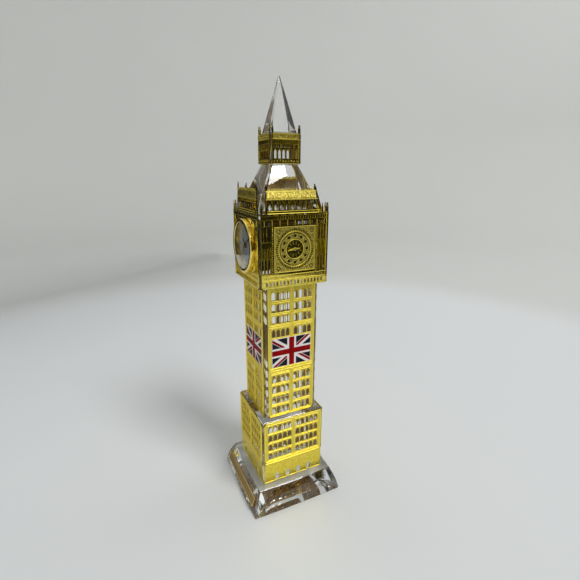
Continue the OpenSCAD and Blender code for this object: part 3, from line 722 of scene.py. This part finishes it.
def pilasters(sheet, axis, clear):
    """Fluted corner strips with slots in two tiers, and a beaded strip beside each."""
    low, high = PILASTER_FOOT, PILASTER_TOP
    for s in (-1, 1):
        middle = s * PILASTER_AT
        for x in even(3, FLUTE):
            for z, h in (UPPER_SLOTS, LOWER_SLOTS):
                sheet.holes.append(rect(middle + x - 0.38, axis + z, 0.76, h))
            sheet.bar(middle + x - 0.2, axis - 3.9, 0.4, 7.8, LOW)
        for x in even(4, FLUTE):
            sheet.bar(middle + x - 0.2, axis + low, 0.4, high - low, LOW)
        for z in (low, -4.1, 3.9, high):
            sheet.bar(middle - 2.6, axis + z, 5.2, 0.3, MIDDLE)
        strip = s * (CLOCK_FIELD / 2 + 1.2)
        for a, b in outside(low, high, CLOCK_FIELD / 2 + 0.7, clear):
            sheet.bar(strip - 0.5, axis + a, 1.0, b - a, LOW)
            heights = even(int((b - a) / BEAD_PITCH), BEAD_PITCH)
            sheet.beads([(strip, axis + (a + b) / 2 + z) for z in heights], 0.24, 0.42)


def dial_field(sheet, axis):
    """Etched dial: track, stippled ring with pierced numeral blots, petals and fixed hands."""
    centre = (0, axis)
    for r, w in ((DIAL_RING_R, 0.55), (DIAL_CENTRE_R, 0.4)):
        sheet.frame(circle(*centre, r, 64), circle(*centre, r - w, 64), RELIEF, BRIGHT)
    for i in range(60):
        sheet.solid(turned(rect(-0.11, 8.95, 0.22, 0.55), 6 * i, axis), LOW, BRIGHT)
    blots = []
    for i in range(12):
        blot = [(u * 0.85, v * 0.75 + NUMERAL_AT) for u, v in circle(0, 0, 1, 8)]
        blots.append(turned(blot, 30 * i, axis))
        petal = [(u * 0.3, v * 0.85 + PETAL_AT) for u, v in circle(0, 0, 1, 8)]
        sheet.solid(turned(petal, 30 * i + 15, axis), LOW)
    track = circle(*centre, DIAL_RING_R - 1.05, 64)
    gaps = [circle(*centre, DIAL_CENTRE_R + 0.3, 64), *blots]
    pierced(sheet.bm, track, gaps, FIELD_BASE, 0.44, STIPPLED)
    sheet.solid(circle(*centre, 0.75, 20), RELIEF, BRIGHT)
    for angle, length, w in ETCHED_HANDS:
        hand = [(-w * 0.3, -0.6), (w * 0.3, -0.6), (w / 2, length * 0.45), (0, length),
                (-w / 2, length * 0.45)]
        sheet.solid(turned(hand, angle, axis), RELIEF, BRIGHT)


def spandrels(sheet, axis):
    """Rings and beads in the four corners of the dial's square, on a stippled field."""
    c = CLOCK_FIELD / 2
    for sx in (-1, 1):
        for sz in (-1, 1):
            for x, z, r in ((8.7, 8.7, 1.1), (9.1, 6.3, 0.6), (6.3, 9.1, 0.6)):
                middle = (sx * x, axis + sz * z)
                sheet.frame(circle(*middle, r, 20), circle(*middle, r * 0.55, 20), 0.54)
            sheet.beads([(sx * x, axis + sz * z) for x, z in
                         ((8.7, 8.7), (9.7, 4.6), (4.6, 9.7), (7.35, 7.35))], 0.26, 0.36)
    field = rect(-c, axis - c, CLOCK_FIELD, CLOCK_FIELD)
    pierced(sheet.bm, field, [circle(0, axis, DIAL_GROOVE_R, 64)], FIELD_BASE, FIELD_TOP, STIPPLED)


def corner_fields(sheet, axis, clear):
    """Stippled corners of the square where the clock insert takes its middle."""
    c = CLOCK_FIELD / 2
    open_angle = math.degrees(math.acos(c / clear))
    corner = [(c, axis + c)] + arc(0, axis, clear + 0.2, 90 - open_angle, open_angle, 8)
    for s in (-1, 1):
        for up in (-1, 1):
            piece = [(s * u, axis + up * (v - axis)) for u, v in corner]
            outline = piece[::-1] if s * up > 0 else piece
            sheet.solid(outline, FIELD_TOP, STIPPLED, FIELD_BASE, 0)


def clock_foot(sheet, half):
    """Row of openings, a pitted band and plain mouldings below the dial."""
    pitch = 1.85
    for x in even(17, pitch):
        sheet.window(x, 1.15, 1.05, 2.0, 0.12)
        sheet.diamond(x, 5.0, 0.45, 0.48, STIPPLED)
    for x in even(18, pitch):
        sheet.bar(x - 0.1, 4.35, 0.2, 1.3, MIDDLE, STIPPLED)
    for z, h, mat in ((0, 0.7, RAISED), (3.75, 0.25, BRIGHT), (5.85, 0.25, BRIGHT)):
        sheet.bar(-half, z, 2 * half, h, RELIEF, mat)


def clock_head(sheet, half, height, axis, clear):
    """Frieze of squares, dark cornice and the pierced parapet above the dial."""
    frieze = axis + CLOCK_FIELD / 2 + 0.95
    cornice = frieze + 2.7
    left = -FRIEZE_W / 2
    for x in even(9, FRIEZE_PITCH):
        if abs(x) > clear or abs(frieze - axis) > clear:
            sheet.bar(x - 0.12, frieze, 0.24, 2.3, MIDDLE, BRIGHT)
    for x in even(8, FRIEZE_PITCH):
        near = max(abs(x) - 1.5, 0)
        if near * near + (frieze - axis) ** 2 > clear * clear:
            sheet.holes.append(rect(x + left, frieze + 0.3, FRIEZE_W, 1.5))
        sheet.holes.append(rect(x + left, cornice + 2.1, FRIEZE_W, height - cornice - 2.45))
    for z in (cornice, cornice + 1.7, height - 0.3):
        sheet.bar(-half, z, 2 * half, 0.3)
    for x in even(26, 1.3):
        sheet.bar(x - 0.4, cornice + 0.3, 0.8, 1.2, LOW)


def clock_upright(width, height, axis, clear):
    """Upright part of a clock-stage sheet, with a dial, or a hole where clear is its radius."""
    sheet = Sheet()
    half, c = width / 2, CLOCK_FIELD / 2
    clock_foot(sheet, half)
    clock_head(sheet, half, height, axis, clear)
    pilasters(sheet, axis, clear)
    for s in (-1, 1):
        sheet.bar(s * (half - 0.25) - 0.25, 0, 0.5, height)
        for a, b in outside(-c - 0.3, c + 0.3, c + 0.2, clear):
            sheet.bar(s * (c + 0.2) - 0.12, axis + a, 0.24, b - a, RELIEF, BRIGHT)
        for a, b in outside(-c - 0.3, c + 0.3, c + 0.1, clear):
            sheet.bar(a, axis + s * (c + 0.3) - 0.15, b - a, 0.3, RELIEF, BRIGHT)
        for x in (14.4, 16.9):
            sheet.pin(s * x, height, 0.9, 4.4)
    if clear:
        sheet.holes.append(circle(0, axis, clear, 96))
        corner_fields(sheet, axis, clear)
    else:
        dial_field(sheet, axis)
        spandrels(sheet, axis)
    sheet.sheet(rect(-half, 0, width, height), RAISED)
    return sheet.bm


# Belfry: height along its lean, widths at the foot and the top, foot of its textured band,
# pitch of its arches and pitch and radii of its cresting
BELFRY_H = 10.4
BELFRY_FOOT = 29.0
BELFRY_TOP = 26.2
BELFRY_BAND = 6.7
ARCH_PITCH = 2.9
CREST_PITCH = 1.5
CREST_OUTER, CREST_INNER = 0.65, 0.36
# How far each sheet's belfry stands back and how far it leans, front and other sides
FRONT_LEDGE, FRONT_LEAN = 1.0, 1.0
SIDE_LEDGE, SIDE_LEAN = 1.55, 16.0


def crest_outline(x, r):
    """Round arch of the cresting, down to just below the sheet's top."""
    foot = BELFRY_H - 0.1
    return [(x + r, foot), *arc(x, BELFRY_H + 0.2, r, 0, 180, 6), (x - r, foot)]


def belfry():
    """Leaning part: arcade, tracery, textured band, cresting and corner pins."""
    sheet = Sheet()
    foot, top = BELFRY_FOOT / 2, BELFRY_TOP / 2
    for x in even(9, ARCH_PITCH):
        sheet.window(x, 1.6, 1.9, 2.9)
    for x in even(10, ARCH_PITCH):
        sheet.bar(x - 0.14, 1.2, 0.28, 4.6, LOW)
    for z, r in ((5.0, 0.34), (5.9, 0.3)):
        for x in even(18, ARCH_PITCH / 2):
            if abs(x) < top - 0.6:
                sheet.holes.append(circle(x, z, r, 8))

    def reach(z):
        return foot + (top - foot) * z / BELFRY_H - 0.05

    for z, h, mat in ((0, 0.25, BRIGHT), (1.0, 0.2, BRIGHT), (6.35, 0.2, BRIGHT),
                      (7.1, 0.2, RAISED), (BELFRY_H - 0.4, 0.4, BRIGHT)):
        sheet.bar(-reach(z + h), z, 2 * reach(z + h), h, RELIEF, mat)
    sheet.bar(-top + 0.3, BELFRY_BAND, BELFRY_TOP - 0.6, 3.4, FIELD_TOP, STIPPLED)
    for row in range(3):
        for x in even(23, 1.1):
            sheet.holes.append(circle(x + 0.27 * (-1) ** row, 7.75 + 0.8 * row, 0.2, 4))
    for x in even(17, CREST_PITCH):
        ring(sheet.bm, crest_outline(x, CREST_OUTER), crest_outline(x, CREST_INNER), 0.05, SHEET,
             0.03, STIPPLED)
    for s in (-1, 1):
        sheet.pin(s * (top - 0.45), BELFRY_H, 0.9, 3.2)
    outline = [(-foot, 0), (foot, 0), (top, BELFRY_H), (-top, BELFRY_H)]
    sheet.sheet(outline, RAISED, 0.0)
    return sheet.bm


def clock_sheet(k, width, height, axis):
    """Upright sheet, folded ledge and belfry in one piece."""
    front = k == 0
    ledge, lean = (FRONT_LEDGE, FRONT_LEAN) if front else (SIDE_LEDGE, SIDE_LEAN)
    bm = clock_upright(width, height, axis, SHEET_HOLE_R if front else 0.0)
    shelf = bmesh.new()
    prism(shelf, rect(-14.8, height - SHEET, 29.6, SHEET), -ledge, SHEET / 2, 0, RAISED)
    merge(bm, shelf, Matrix.Identity(4))
    fold_in, fold_down = 0.12, SHEET * 0.6
    place = Matrix.Translation((0, ledge - fold_in, height - fold_down))
    merge(bm, belfry(), place @ Matrix.Rotation(math.radians(-lean), 4, "X"))
    return bm


def gallery_sheet(width, height):
    """Lancets between thin columns, tracery, a barred band and a bright cornice."""
    sheet = Sheet()
    half, pitch = width / 2, 2.2
    for x in even(6, pitch):
        sheet.window(x, 2.35, 1.45, 4.4)
        for dx in (-0.55, 0.55):
            sheet.holes.append(circle(x + dx, 7.3, 0.33, 6))
            sheet.holes.append(circle(x + dx, 8.15, 0.26, 6))
    for x in even(7, pitch):
        sheet.bar(x - 0.13, 2.0, 0.26, 6.6, LOW)
    for x in even(15, 0.88):
        sheet.bar(x - 0.16, 8.9, 0.32, 1.6, LOW)
    for x in even(9, 1.45):
        sheet.diamond(x, 1.2, 0.52, MIDDLE, STIPPLED)
    for z, h, mat in ((0, 0.3, BRIGHT), (1.9, 0.25, RAISED), (8.65, 0.2, RAISED),
                      (10.65, 0.4, BRIGHT), (height - 0.45, 0.45, BRIGHT)):
        sheet.bar(-half, z, width, h, RELIEF, mat)
    sheet.bar(-half + 0.2, 11.1, width - 0.4, height - 11.5, FIELD_TOP, STIPPLED)
    lattice(sheet, 11.7, width - 0.2, 1.0)
    for s in (-1, 1):
        sheet.bar(s * (half - 0.2) - 0.2, 0, 0.4, height)
        sheet.pin(s * (half - 0.4), height, 0.8, 3.8)
    sheet.sheet(rect(-half, 0, width, height), RAISED)
    return sheet.bm


STAGES = {"plinth": "glass_plinth", "shaft": "glass_shaft", "clock": "glass_clock_block",
          "gallery": "glass_gallery"}


def stage_sheet(stage, k, lo, hi, block_lo, block_hi):
    """Draws one sheet to the box of the stage's front sheet and of its block."""
    width = hi.x - lo.x
    if stage == "clock":
        return clock_sheet(k, width, block_hi.z + SHEET - lo.z, AXIS_Z - lo.z)
    if stage == "gallery":
        return gallery_sheet(width, block_hi.z - 2 * lo.z + block_lo.z)
    draw = plinth_sheet if stage == "plinth" else shaft_sheet
    return draw(width, hi.z - lo.z)


def make_sheets():
    for k, side in enumerate(SIDES):
        for stage, block in STAGES.items():
            lo, hi = span(f"{stage}_panel_front")
            block_lo, block_hi = span(block)
            bm = stage_sheet(stage, k, lo, hi, block_lo, block_hi)
            make_piece(f"etched_{stage}_{side}", bm, GOLD_SET, TOWER,
                       [f"{stage}_panel_{side}"], face_matrix(k, -block_lo.y, lo.z))


# ---- Flags and nameplate ----

# Widths of the upright cross and its border, of the diagonals and of the plain edge
CROSS_RED = 2.9
CROSS_WHITE = 1.1
SALTIRE_WHITE = 2.9
SALTIRE_RED = 1.2
FLAG_EDGE = 0.22
# Finishes, top of the ground, depth where the raised fields start, and their bevel
WHITE, RED, NAVY = range(3)
GROUND_TOP = 0.2
FILL_BASE = 0.1
FILL_BEVEL = 0.03

NAMEPLATE_H = 5.6
NAMEPLATE_T = 0.4


def clip_to_box(points, x0, z0, x1, z1):
    """Part of a convex outline inside a box."""
    for axis, limit, sign in ((0, x0, 1), (0, x1, -1), (1, z0, 1), (1, z1, -1)):
        kept = []
        for i, q in enumerate(points):
            p = points[i - 1]
            dp, dq = sign * (p[axis] - limit), sign * (q[axis] - limit)
            if (dp < 0) != (dq < 0):
                t = dp / (dp - dq)
                kept.append((p[0] + t * (q[0] - p[0]), p[1] + t * (q[1] - p[1])))
            if dq >= 0:
                kept.append(q)
        points = kept
    return points


def quarter_fields(w, h, swing):
    """Navy and red fields of a quarter, from the flag's middle: outline, top and finish."""
    slope, far = h / w, 4 * max(w, h)
    steep = math.hypot(1, slope)
    white, red = SALTIRE_WHITE / 2 * steep, SALTIRE_RED / 2 * steep
    # the red diagonals sit to one side of the white ones
    low, high = (swing - 1) * red, (swing + 1) * red
    return [([(0, white), (far, far * slope + white), (0, far * 3)], 0.26, NAVY),
            ([(white / slope, 0), (far, 0), (far, far * slope - white)], 0.26, NAVY),
            ([(0, low), (far, far * slope + low), (far, far * slope + high), (0, high)], 0.27, RED)]


def flag_piece(k, side):
    """Enamelled flag: white ground with raised red and navy fields."""
    lo, hi = span("flag_front")
    w, h = hi.x - lo.x, hi.z - lo.z
    bm = bmesh.new()
    prism(bm, rect(-w / 2, 0, w, h), 0, GROUND_TOP, 0.04, WHITE)
    clear = CROSS_RED / 2 + CROSS_WHITE
    for sx in (-1, 1):
        for sz in (-1, 1):
            for zone, top, mat in quarter_fields(w, h, sx * sz):
                zone = clip_to_box(zone, clear, clear, w / 2 - FLAG_EDGE, h / 2 - FLAG_EDGE)
                if len(zone) < 3:
                    continue
                zone = [(sx * u, h / 2 + sz * v) for u, v in zone][::sx * sz]
                prism(bm, zone, FILL_BASE, top, FILL_BEVEL, mat)
    edge = FLAG_EDGE * 0.6
    upright = rect(-CROSS_RED / 2, edge, CROSS_RED, h - 2 * edge)
    level = rect(-w / 2 + edge, h / 2 - CROSS_RED / 2, w - 2 * edge, CROSS_RED)
    prism(bm, upright, FILL_BASE, 0.28, FILL_BEVEL, RED)
    prism(bm, level, FILL_BASE, 0.285, FILL_BEVEL, RED)
    make_piece(f"enamel_flag_{side}", bm, ["white", "red", "navy"], TOWER,
               [f"flag_{side}"], face_matrix(k, -hi.y, lo.z))


def make_nameplate():
    """Blank plate on the front slope of the base, with a raised rim and an inner line."""
    lo, hi = span("glass_base")
    plate_lo, plate_hi = span("nameplate")
    slope = math.atan2((hi.x - width_at("glass_base", hi.z) / 2), hi.z)
    w = plate_hi.x - plate_lo.x
    foot = (hi.z / math.cos(slope) - NAMEPLATE_H) / 2
    bm = bmesh.new()
    plate = rect(-w / 2, foot, w, NAMEPLATE_H)
    prism(bm, plate, -0.3, NAMEPLATE_T * 0.7, 0.08)
    ring(bm, inset(plate, 0.1), inset(plate, 0.7), 0, NAMEPLATE_T, 0.1, 1)
    ring(bm, inset(plate, 1.05), inset(plate, 1.2), 0, NAMEPLATE_T * 0.85, 0.03)
    place = Matrix.Translation((0, lo.y, 0)) @ Matrix.Rotation(-slope, 4, "X")
    make_piece("blank_nameplate", bm, ["plate", "brass"], TOWER,
               ["nameplate"], place)


# ---- Clock insert ----

# Bezel: its neck in the hole, the inside of its wall, the step that holds the lens, and the
# roundings of its crown and lip
NECK_INNER, NECK_OUTER, NECK_FOOT, NECK_TOP = 11.15, 11.6, -1.3, 0.4
WALL_INNER = 11.55
STEP_AT, STEP_W, STEP_LEAN = 2.2, 0.6, 0.15
CROWN_W, CROWN_H, LIP_R = 1.0, 0.75, 0.35

LENS_RISE, LENS_T, LENS_TIP = 1.5, 1.0, 0.02

NUMERAL_SIZE, NUMERAL_R = 2.5, 7.9
# Inner radius, width and length of the dial's hour and minute ticks
HOUR_TICK = (9.3, 0.44, 1.1)
MINUTE_TICK = (9.7, 0.16, 0.7)

# The time that the hands show at rest
REST_HOUR, REST_MINUTE, REST_SECOND = 10, 9, 34
# Body, finish, slot, angle at rest, width, length, tail, and radii of the hub and its hole
HANDS = {
    "hour_hand": ("hour_group", "hand", "hand_black", 30 * (REST_HOUR + REST_MINUTE / 60),
                  0.8, 5.6, 1.5, 1.2, 0.81),
    "minute_hand": ("minute_group", "hand", "hand_black", 6 * REST_MINUTE,
                    0.6, 8.4, 1.5, 0.9, 0.53),
    "second_hand": ("second_group", "second", "hand_red", 6 * REST_SECOND,
                    0.22, 8.8, 2.6, 0.5, 0.17),
}


def quarter_turn(step):
    """Angles in radians from 0 to a quarter turn, a step of so many degrees apart."""
    return [math.radians(a) for a in range(0, 91, step)]


def make_bezel():
    """Gold ring: neck, flange on the sheet, round crown and a wall down to the lens."""
    lo, hi = span("bezel")
    outer, out = (hi.x - lo.x) / 2, SEAT_Y - lo.y
    flange = SEAT_Y - span("clock_panel_front")[0].y + 0.05
    crown = [(outer - CROWN_W + CROWN_W * math.cos(a), out - CROWN_H + CROWN_H * math.sin(a))
             for a in quarter_turn(10)]
    lip = [(WALL_INNER + LIP_R - LIP_R * math.sin(a), out - LIP_R + LIP_R * math.cos(a))
           for a in quarter_turn(15)]
    step = WALL_INNER - STEP_W
    profile = [(NECK_INNER, NECK_FOOT), (NECK_OUTER, NECK_FOOT), (NECK_OUTER, flange),
               (outer - 0.1, flange), (outer, flange + 0.1), *crown, *lip,
               (WALL_INNER, STEP_AT), (step, STEP_AT), (step - STEP_LEAN, NECK_TOP),
               (NECK_INNER, NECK_TOP)]
    bm = bmesh.new()
    stack(bm, [(circle(0, 0, r, 128), d) for r, d in profile], 0, closed=True)
    make_piece("gold_bezel", bm, ["polished"], INSERT, ["bezel"], SEAT, 35)


def make_lens():
    """Domed acrylic lens: an outer and an inner sphere joined by a straight rim."""
    lo, hi = span("lens")
    r, front, foot = (hi.x - lo.x) / 2, SEAT_Y - lo.y, SEAT_Y - hi.y
    bow = (r * r + LENS_RISE * LENS_RISE) / (2 * LENS_RISE)
    centre = front - bow
    small = bow - LENS_T
    inner_r = math.sqrt(max(small * small - (foot - centre) ** 2, 0))
    n = 14

    def dome(radius, edge, i):
        q = edge * i / n
        return q, centre + math.sqrt(radius * radius - q * q)

    back = [(LENS_TIP, centre + small)] + [dome(small, inner_r, i) for i in range(1, n + 1)]
    rings = [(r, foot)] + [dome(bow, r, i) for i in range(n, 0, -1)] + [(LENS_TIP, front)]
    bm = bmesh.new()
    stack(bm, [(circle(0, 0, q, 96), d) for q, d in back + rings], 0)
    make_piece("domed_lens", bm, ["acrylic"], INSERT, ["lens"], SEAT, 35)


def add_text(bm, text, size, x, z, depth, thick, mat):
    """Numeral in the built-in typeface, centred on a point."""
    data = bpy.data.curves.new("numeral", "FONT")
    data.body = text
    data.size = size
    data.extrude = thick / 2
    data.align_x, data.align_y = "CENTER", "CENTER"
    add_curve(bm, data, Matrix.Translation((x, -depth - thick / 2, z)) @ UPRIGHT, mat)


def make_dial():
    """White dial with raised print: ticks, numerals and two fine rings."""
    lo, hi = span("dial")
    r, t = (hi.x - lo.x) / 2, hi.y - lo.y
    low, high, ink = t - 0.02, t + 0.03, 1
    bm = bmesh.new()
    ring(bm, circle(0, 0, r, 96), circle(0, 0, 0.88, 96), 0, t, 0.03)
    for i in range(60):
        at, w, length = MINUTE_TICK if i % 5 else HOUR_TICK
        prism(bm, turned(rect(-w / 2, at, w, length), 6 * i), low, high, 0, ink)
    for hour in range(1, 13):
        a = math.radians(90 - 30 * hour)
        add_text(bm, str(hour), NUMERAL_SIZE, NUMERAL_R * math.cos(a), NUMERAL_R * math.sin(a), t,
                 0.03, ink)
    for outer, w in ((10.6, 0.12), (5.0, 0.08)):
        ring(bm, circle(0, 0, outer, 96), circle(0, 0, outer - w, 96), low, high, 0, ink)
    make_piece("printed_dial", bm, ["dial", "ink"], INSERT, ["dial"], SEAT)


def hand_piece(node, body, material, slot, angle, w, length, tail, hub, bore):
    """Tapered hand and its tail with bevelled fronts, on a hub with a round hole."""
    lo, hi = span(node)
    d0, d1 = SEAT_Y - hi.y, SEAT_Y - lo.y
    bevel = min(0.05, w * 0.3)
    gap = bore + 0.02
    blade = [(-w / 2, gap), (w / 2, gap), (w * 0.46, length - w), (0, length),
             (-w * 0.46, length - w)]
    heel = [(-w / 2, -tail), (w / 2, -tail), (w / 2, -gap), (-w / 2, -gap)]
    bm = bmesh.new()
    for outline in (blade, heel):
        prism(bm, turned(outline, -angle), d0, d1, bevel)
    ring(bm, circle(0, 0, hub, 40), circle(0, 0, bore, 40), d0, d1, bevel)
    make_piece(f"dial_{node}", bm, [material], body, [node], SEAT)


def make_insert():
    make_bezel()
    make_lens()
    make_dial()
    for node, looks in HANDS.items():
        hand_piece(node, *looks)


CARRIED = {
    "plastic": ["insert_case", "back_cover", "setting_knob"],
    "rubber": ["grip_ring"],
    "steel": ["movement_plate", "train_bridge", "bridge_screws", "rotor", "stator",
              "quartz_crystal", "battery"],
    "brass": ["cannon_pinion", "minute_wheel", "hour_wheel", "centre_wheel", "third_wheel",
              "seconds_wheel", "intermediate_wheel", "battery_cup"],
    "copper": ["coil"],
    "board": ["circuit_board"],
}


def dress_carried():
    """Gives the CAD nodes that stay their materials."""
    for key, nodes in CARRIED.items():
        for node in nodes:
            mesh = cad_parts[node].data
            mesh.materials.clear()
            mesh.materials.append(MATERIALS[key])


# ---- Studio (in metres) ----

# The paper's white, the grey painted on it farther out as shade that stands in for a dimmer wall,
# and the distances from the model between which they blend
PAPER_WHITE = (0.72, 0.74, 0.75)
PAPER_PAINTED_SHADE = (0.64, 0.65, 0.635)
PAPER_NEAR = 0.40
PAPER_FAR = 0.52

# Floor: radius of the flat, radius of the bend, height of the wall, gap below the base
FLOOR_FLAT = 0.95
FLOOR_BEND = 0.45
FLOOR_WALL = 1.3
FLOOR_GAP = 0.00015

# Square lights: place, target, side and power
LIGHTS = {
    "key": ((1.110, 0.444, 1.649), (0, 0, 0.1), 0.62, 21.5),
    "top": ((-0.3, -0.2, 1.3), (-0.05, -0.1, 0), 0.9, 1.1),
    "left": ((-0.55, -0.25, 0.9), (-0.33, -0.05, 0), 0.5, 0.4),
    "wall": ((-0.1, 0.9, 1.2), (-1.0, 0.75, 0.3), 0.8, 2.3),
}
# Dark cards seen only in reflections: place, width and height, heading, tone
CARDS = {
    "dark_card_right": ((0.465, 0.222, 0.23), (1.2, 0.46), 116, 0.006),
    "dark_card_left": ((-0.45, -0.245, 0.145), (0.9, 0.29), 119, 0.008),
}
WORLD_COLOUR = (1.0, 1.0, 0.98, 1)
WORLD_STRENGTH = 0.335


def paper():
    """Pale paper: bluish white near the model, with painted shade beyond, greyer from PAPER_NEAR to
    PAPER_FAR away so that it stands in for a dimmer wall.
    """
    mat, tree, shader = new_material("studio_paper_painted_shade")
    set_inputs(shader, {"Specular IOR Level": 0.3})
    coord = tree.nodes.new("ShaderNodeTexCoord")
    spread = tree.nodes.new("ShaderNodeVectorMath")
    spread.operation = "LENGTH"
    tree.links.new(coord.outputs["Object"], spread.inputs[0])
    ranges = tree.nodes.new("ShaderNodeMapRange")
    ranges.interpolation_type = "SMOOTHSTEP"
    set_inputs(ranges, {"From Min": PAPER_NEAR, "From Max": PAPER_FAR})
    tree.links.new(spread.outputs["Value"], ranges.inputs["Value"])
    # the far grey is painted shade, not a tone of the paper itself
    vary_colour(tree, shader, ranges.outputs["Result"], PAPER_WHITE, PAPER_PAINTED_SHADE, 0.0, 1.0)
    vary_roughness(tree, shader, noise(tree, 9, 3), 0.55, 0.7)
    add_bump(tree, shader, noise(tree, 14, 2), 0.0004)
    return mat


def make_floor():
    """Pale floor that sweeps up into a wall all round."""
    profile = [(r, -FLOOR_GAP) for r in (0.02, 0.2, 0.5, FLOOR_FLAT)]
    for i in range(1, 11):
        a = math.radians(7.5 * i)
        profile.append((FLOOR_FLAT + FLOOR_BEND * math.sin(a),
                        FLOOR_BEND - FLOOR_BEND * math.cos(a) - FLOOR_GAP))
    r, z = profile[-1]
    profile.append((r + 0.2, z + FLOOR_WALL))
    bm = bmesh.new()
    loops = [[bm.verts.new((x, y, z)) for x, y in circle(0, 0, r, 96)] for r, z in profile]
    bm.faces.new(loops[0])
    skin(bm, loops[::-1])
    for face in bm.faces:
        face.smooth = True
    mesh = take_mesh(bm, "studio_floor")
    mesh.materials.append(paper())
    add_object("studio_floor", mesh)


def area_light(name, at, target, side, power):
    data = bpy.data.lights.new(name, "AREA")
    data.shape = "SQUARE"
    data.size = side
    data.energy = power
    light = add_object(name, data)
    aim = Vector(target) - Vector(at)
    light.matrix_world = Matrix.Translation(at) @ aim.to_track_quat("-Z", "Y").to_matrix().to_4x4()


def dark_card(name, at, size, heading, tone):
    bm = bmesh.new()
    card_face = rect(-size[0] / 2, -size[1] / 2, *size)
    bm.faces.new([bm.verts.new((x, 0, z)) for x, z in card_face])
    mesh = take_mesh(bm, name)
    mesh.materials.append(surface(name, (tone,) * 3, (tone * 1.5,) * 3, 0, (0.7, 0.9), 4))
    card = add_object(name, mesh)
    card.matrix_world = Matrix.Translation(at) @ Matrix.Rotation(math.radians(heading), 4, "Z")
    card.visible_camera = False
    card.visible_shadow = False


def make_studio():
    make_floor()
    for name, light in LIGHTS.items():
        area_light(name, *light)
    for name, card in CARDS.items():
        dark_card(name, *card)
    world = bpy.data.worlds.new("studio_world")
    world.use_nodes = True
    set_inputs(world.node_tree.nodes["Background"],
               {"Color": WORLD_COLOUR, "Strength": WORLD_STRENGTH})
    bpy.context.scene.world = world


def set_rendering():
    scene = bpy.context.scene
    scene.view_settings.view_transform = "Standard"
    scene.view_settings.look = "None"
    cycles = scene.cycles
    cycles.max_bounces = 24
    cycles.transmission_bounces = 22
    cycles.glossy_bounces = 10
    cycles.diffuse_bounces = 4
    cycles.caustics_refractive = True
    cycles.caustics_reflective = True
    cycles.blur_glossy = 0.3
    cycles.sample_clamp_indirect = 3.0
    cycles.use_denoising = True


make_glass()
make_sheets()
for k, side in enumerate(SIDES):
    flag_piece(k, side)
make_nameplate()
make_insert()
dress_carried()
make_studio()
set_rendering()
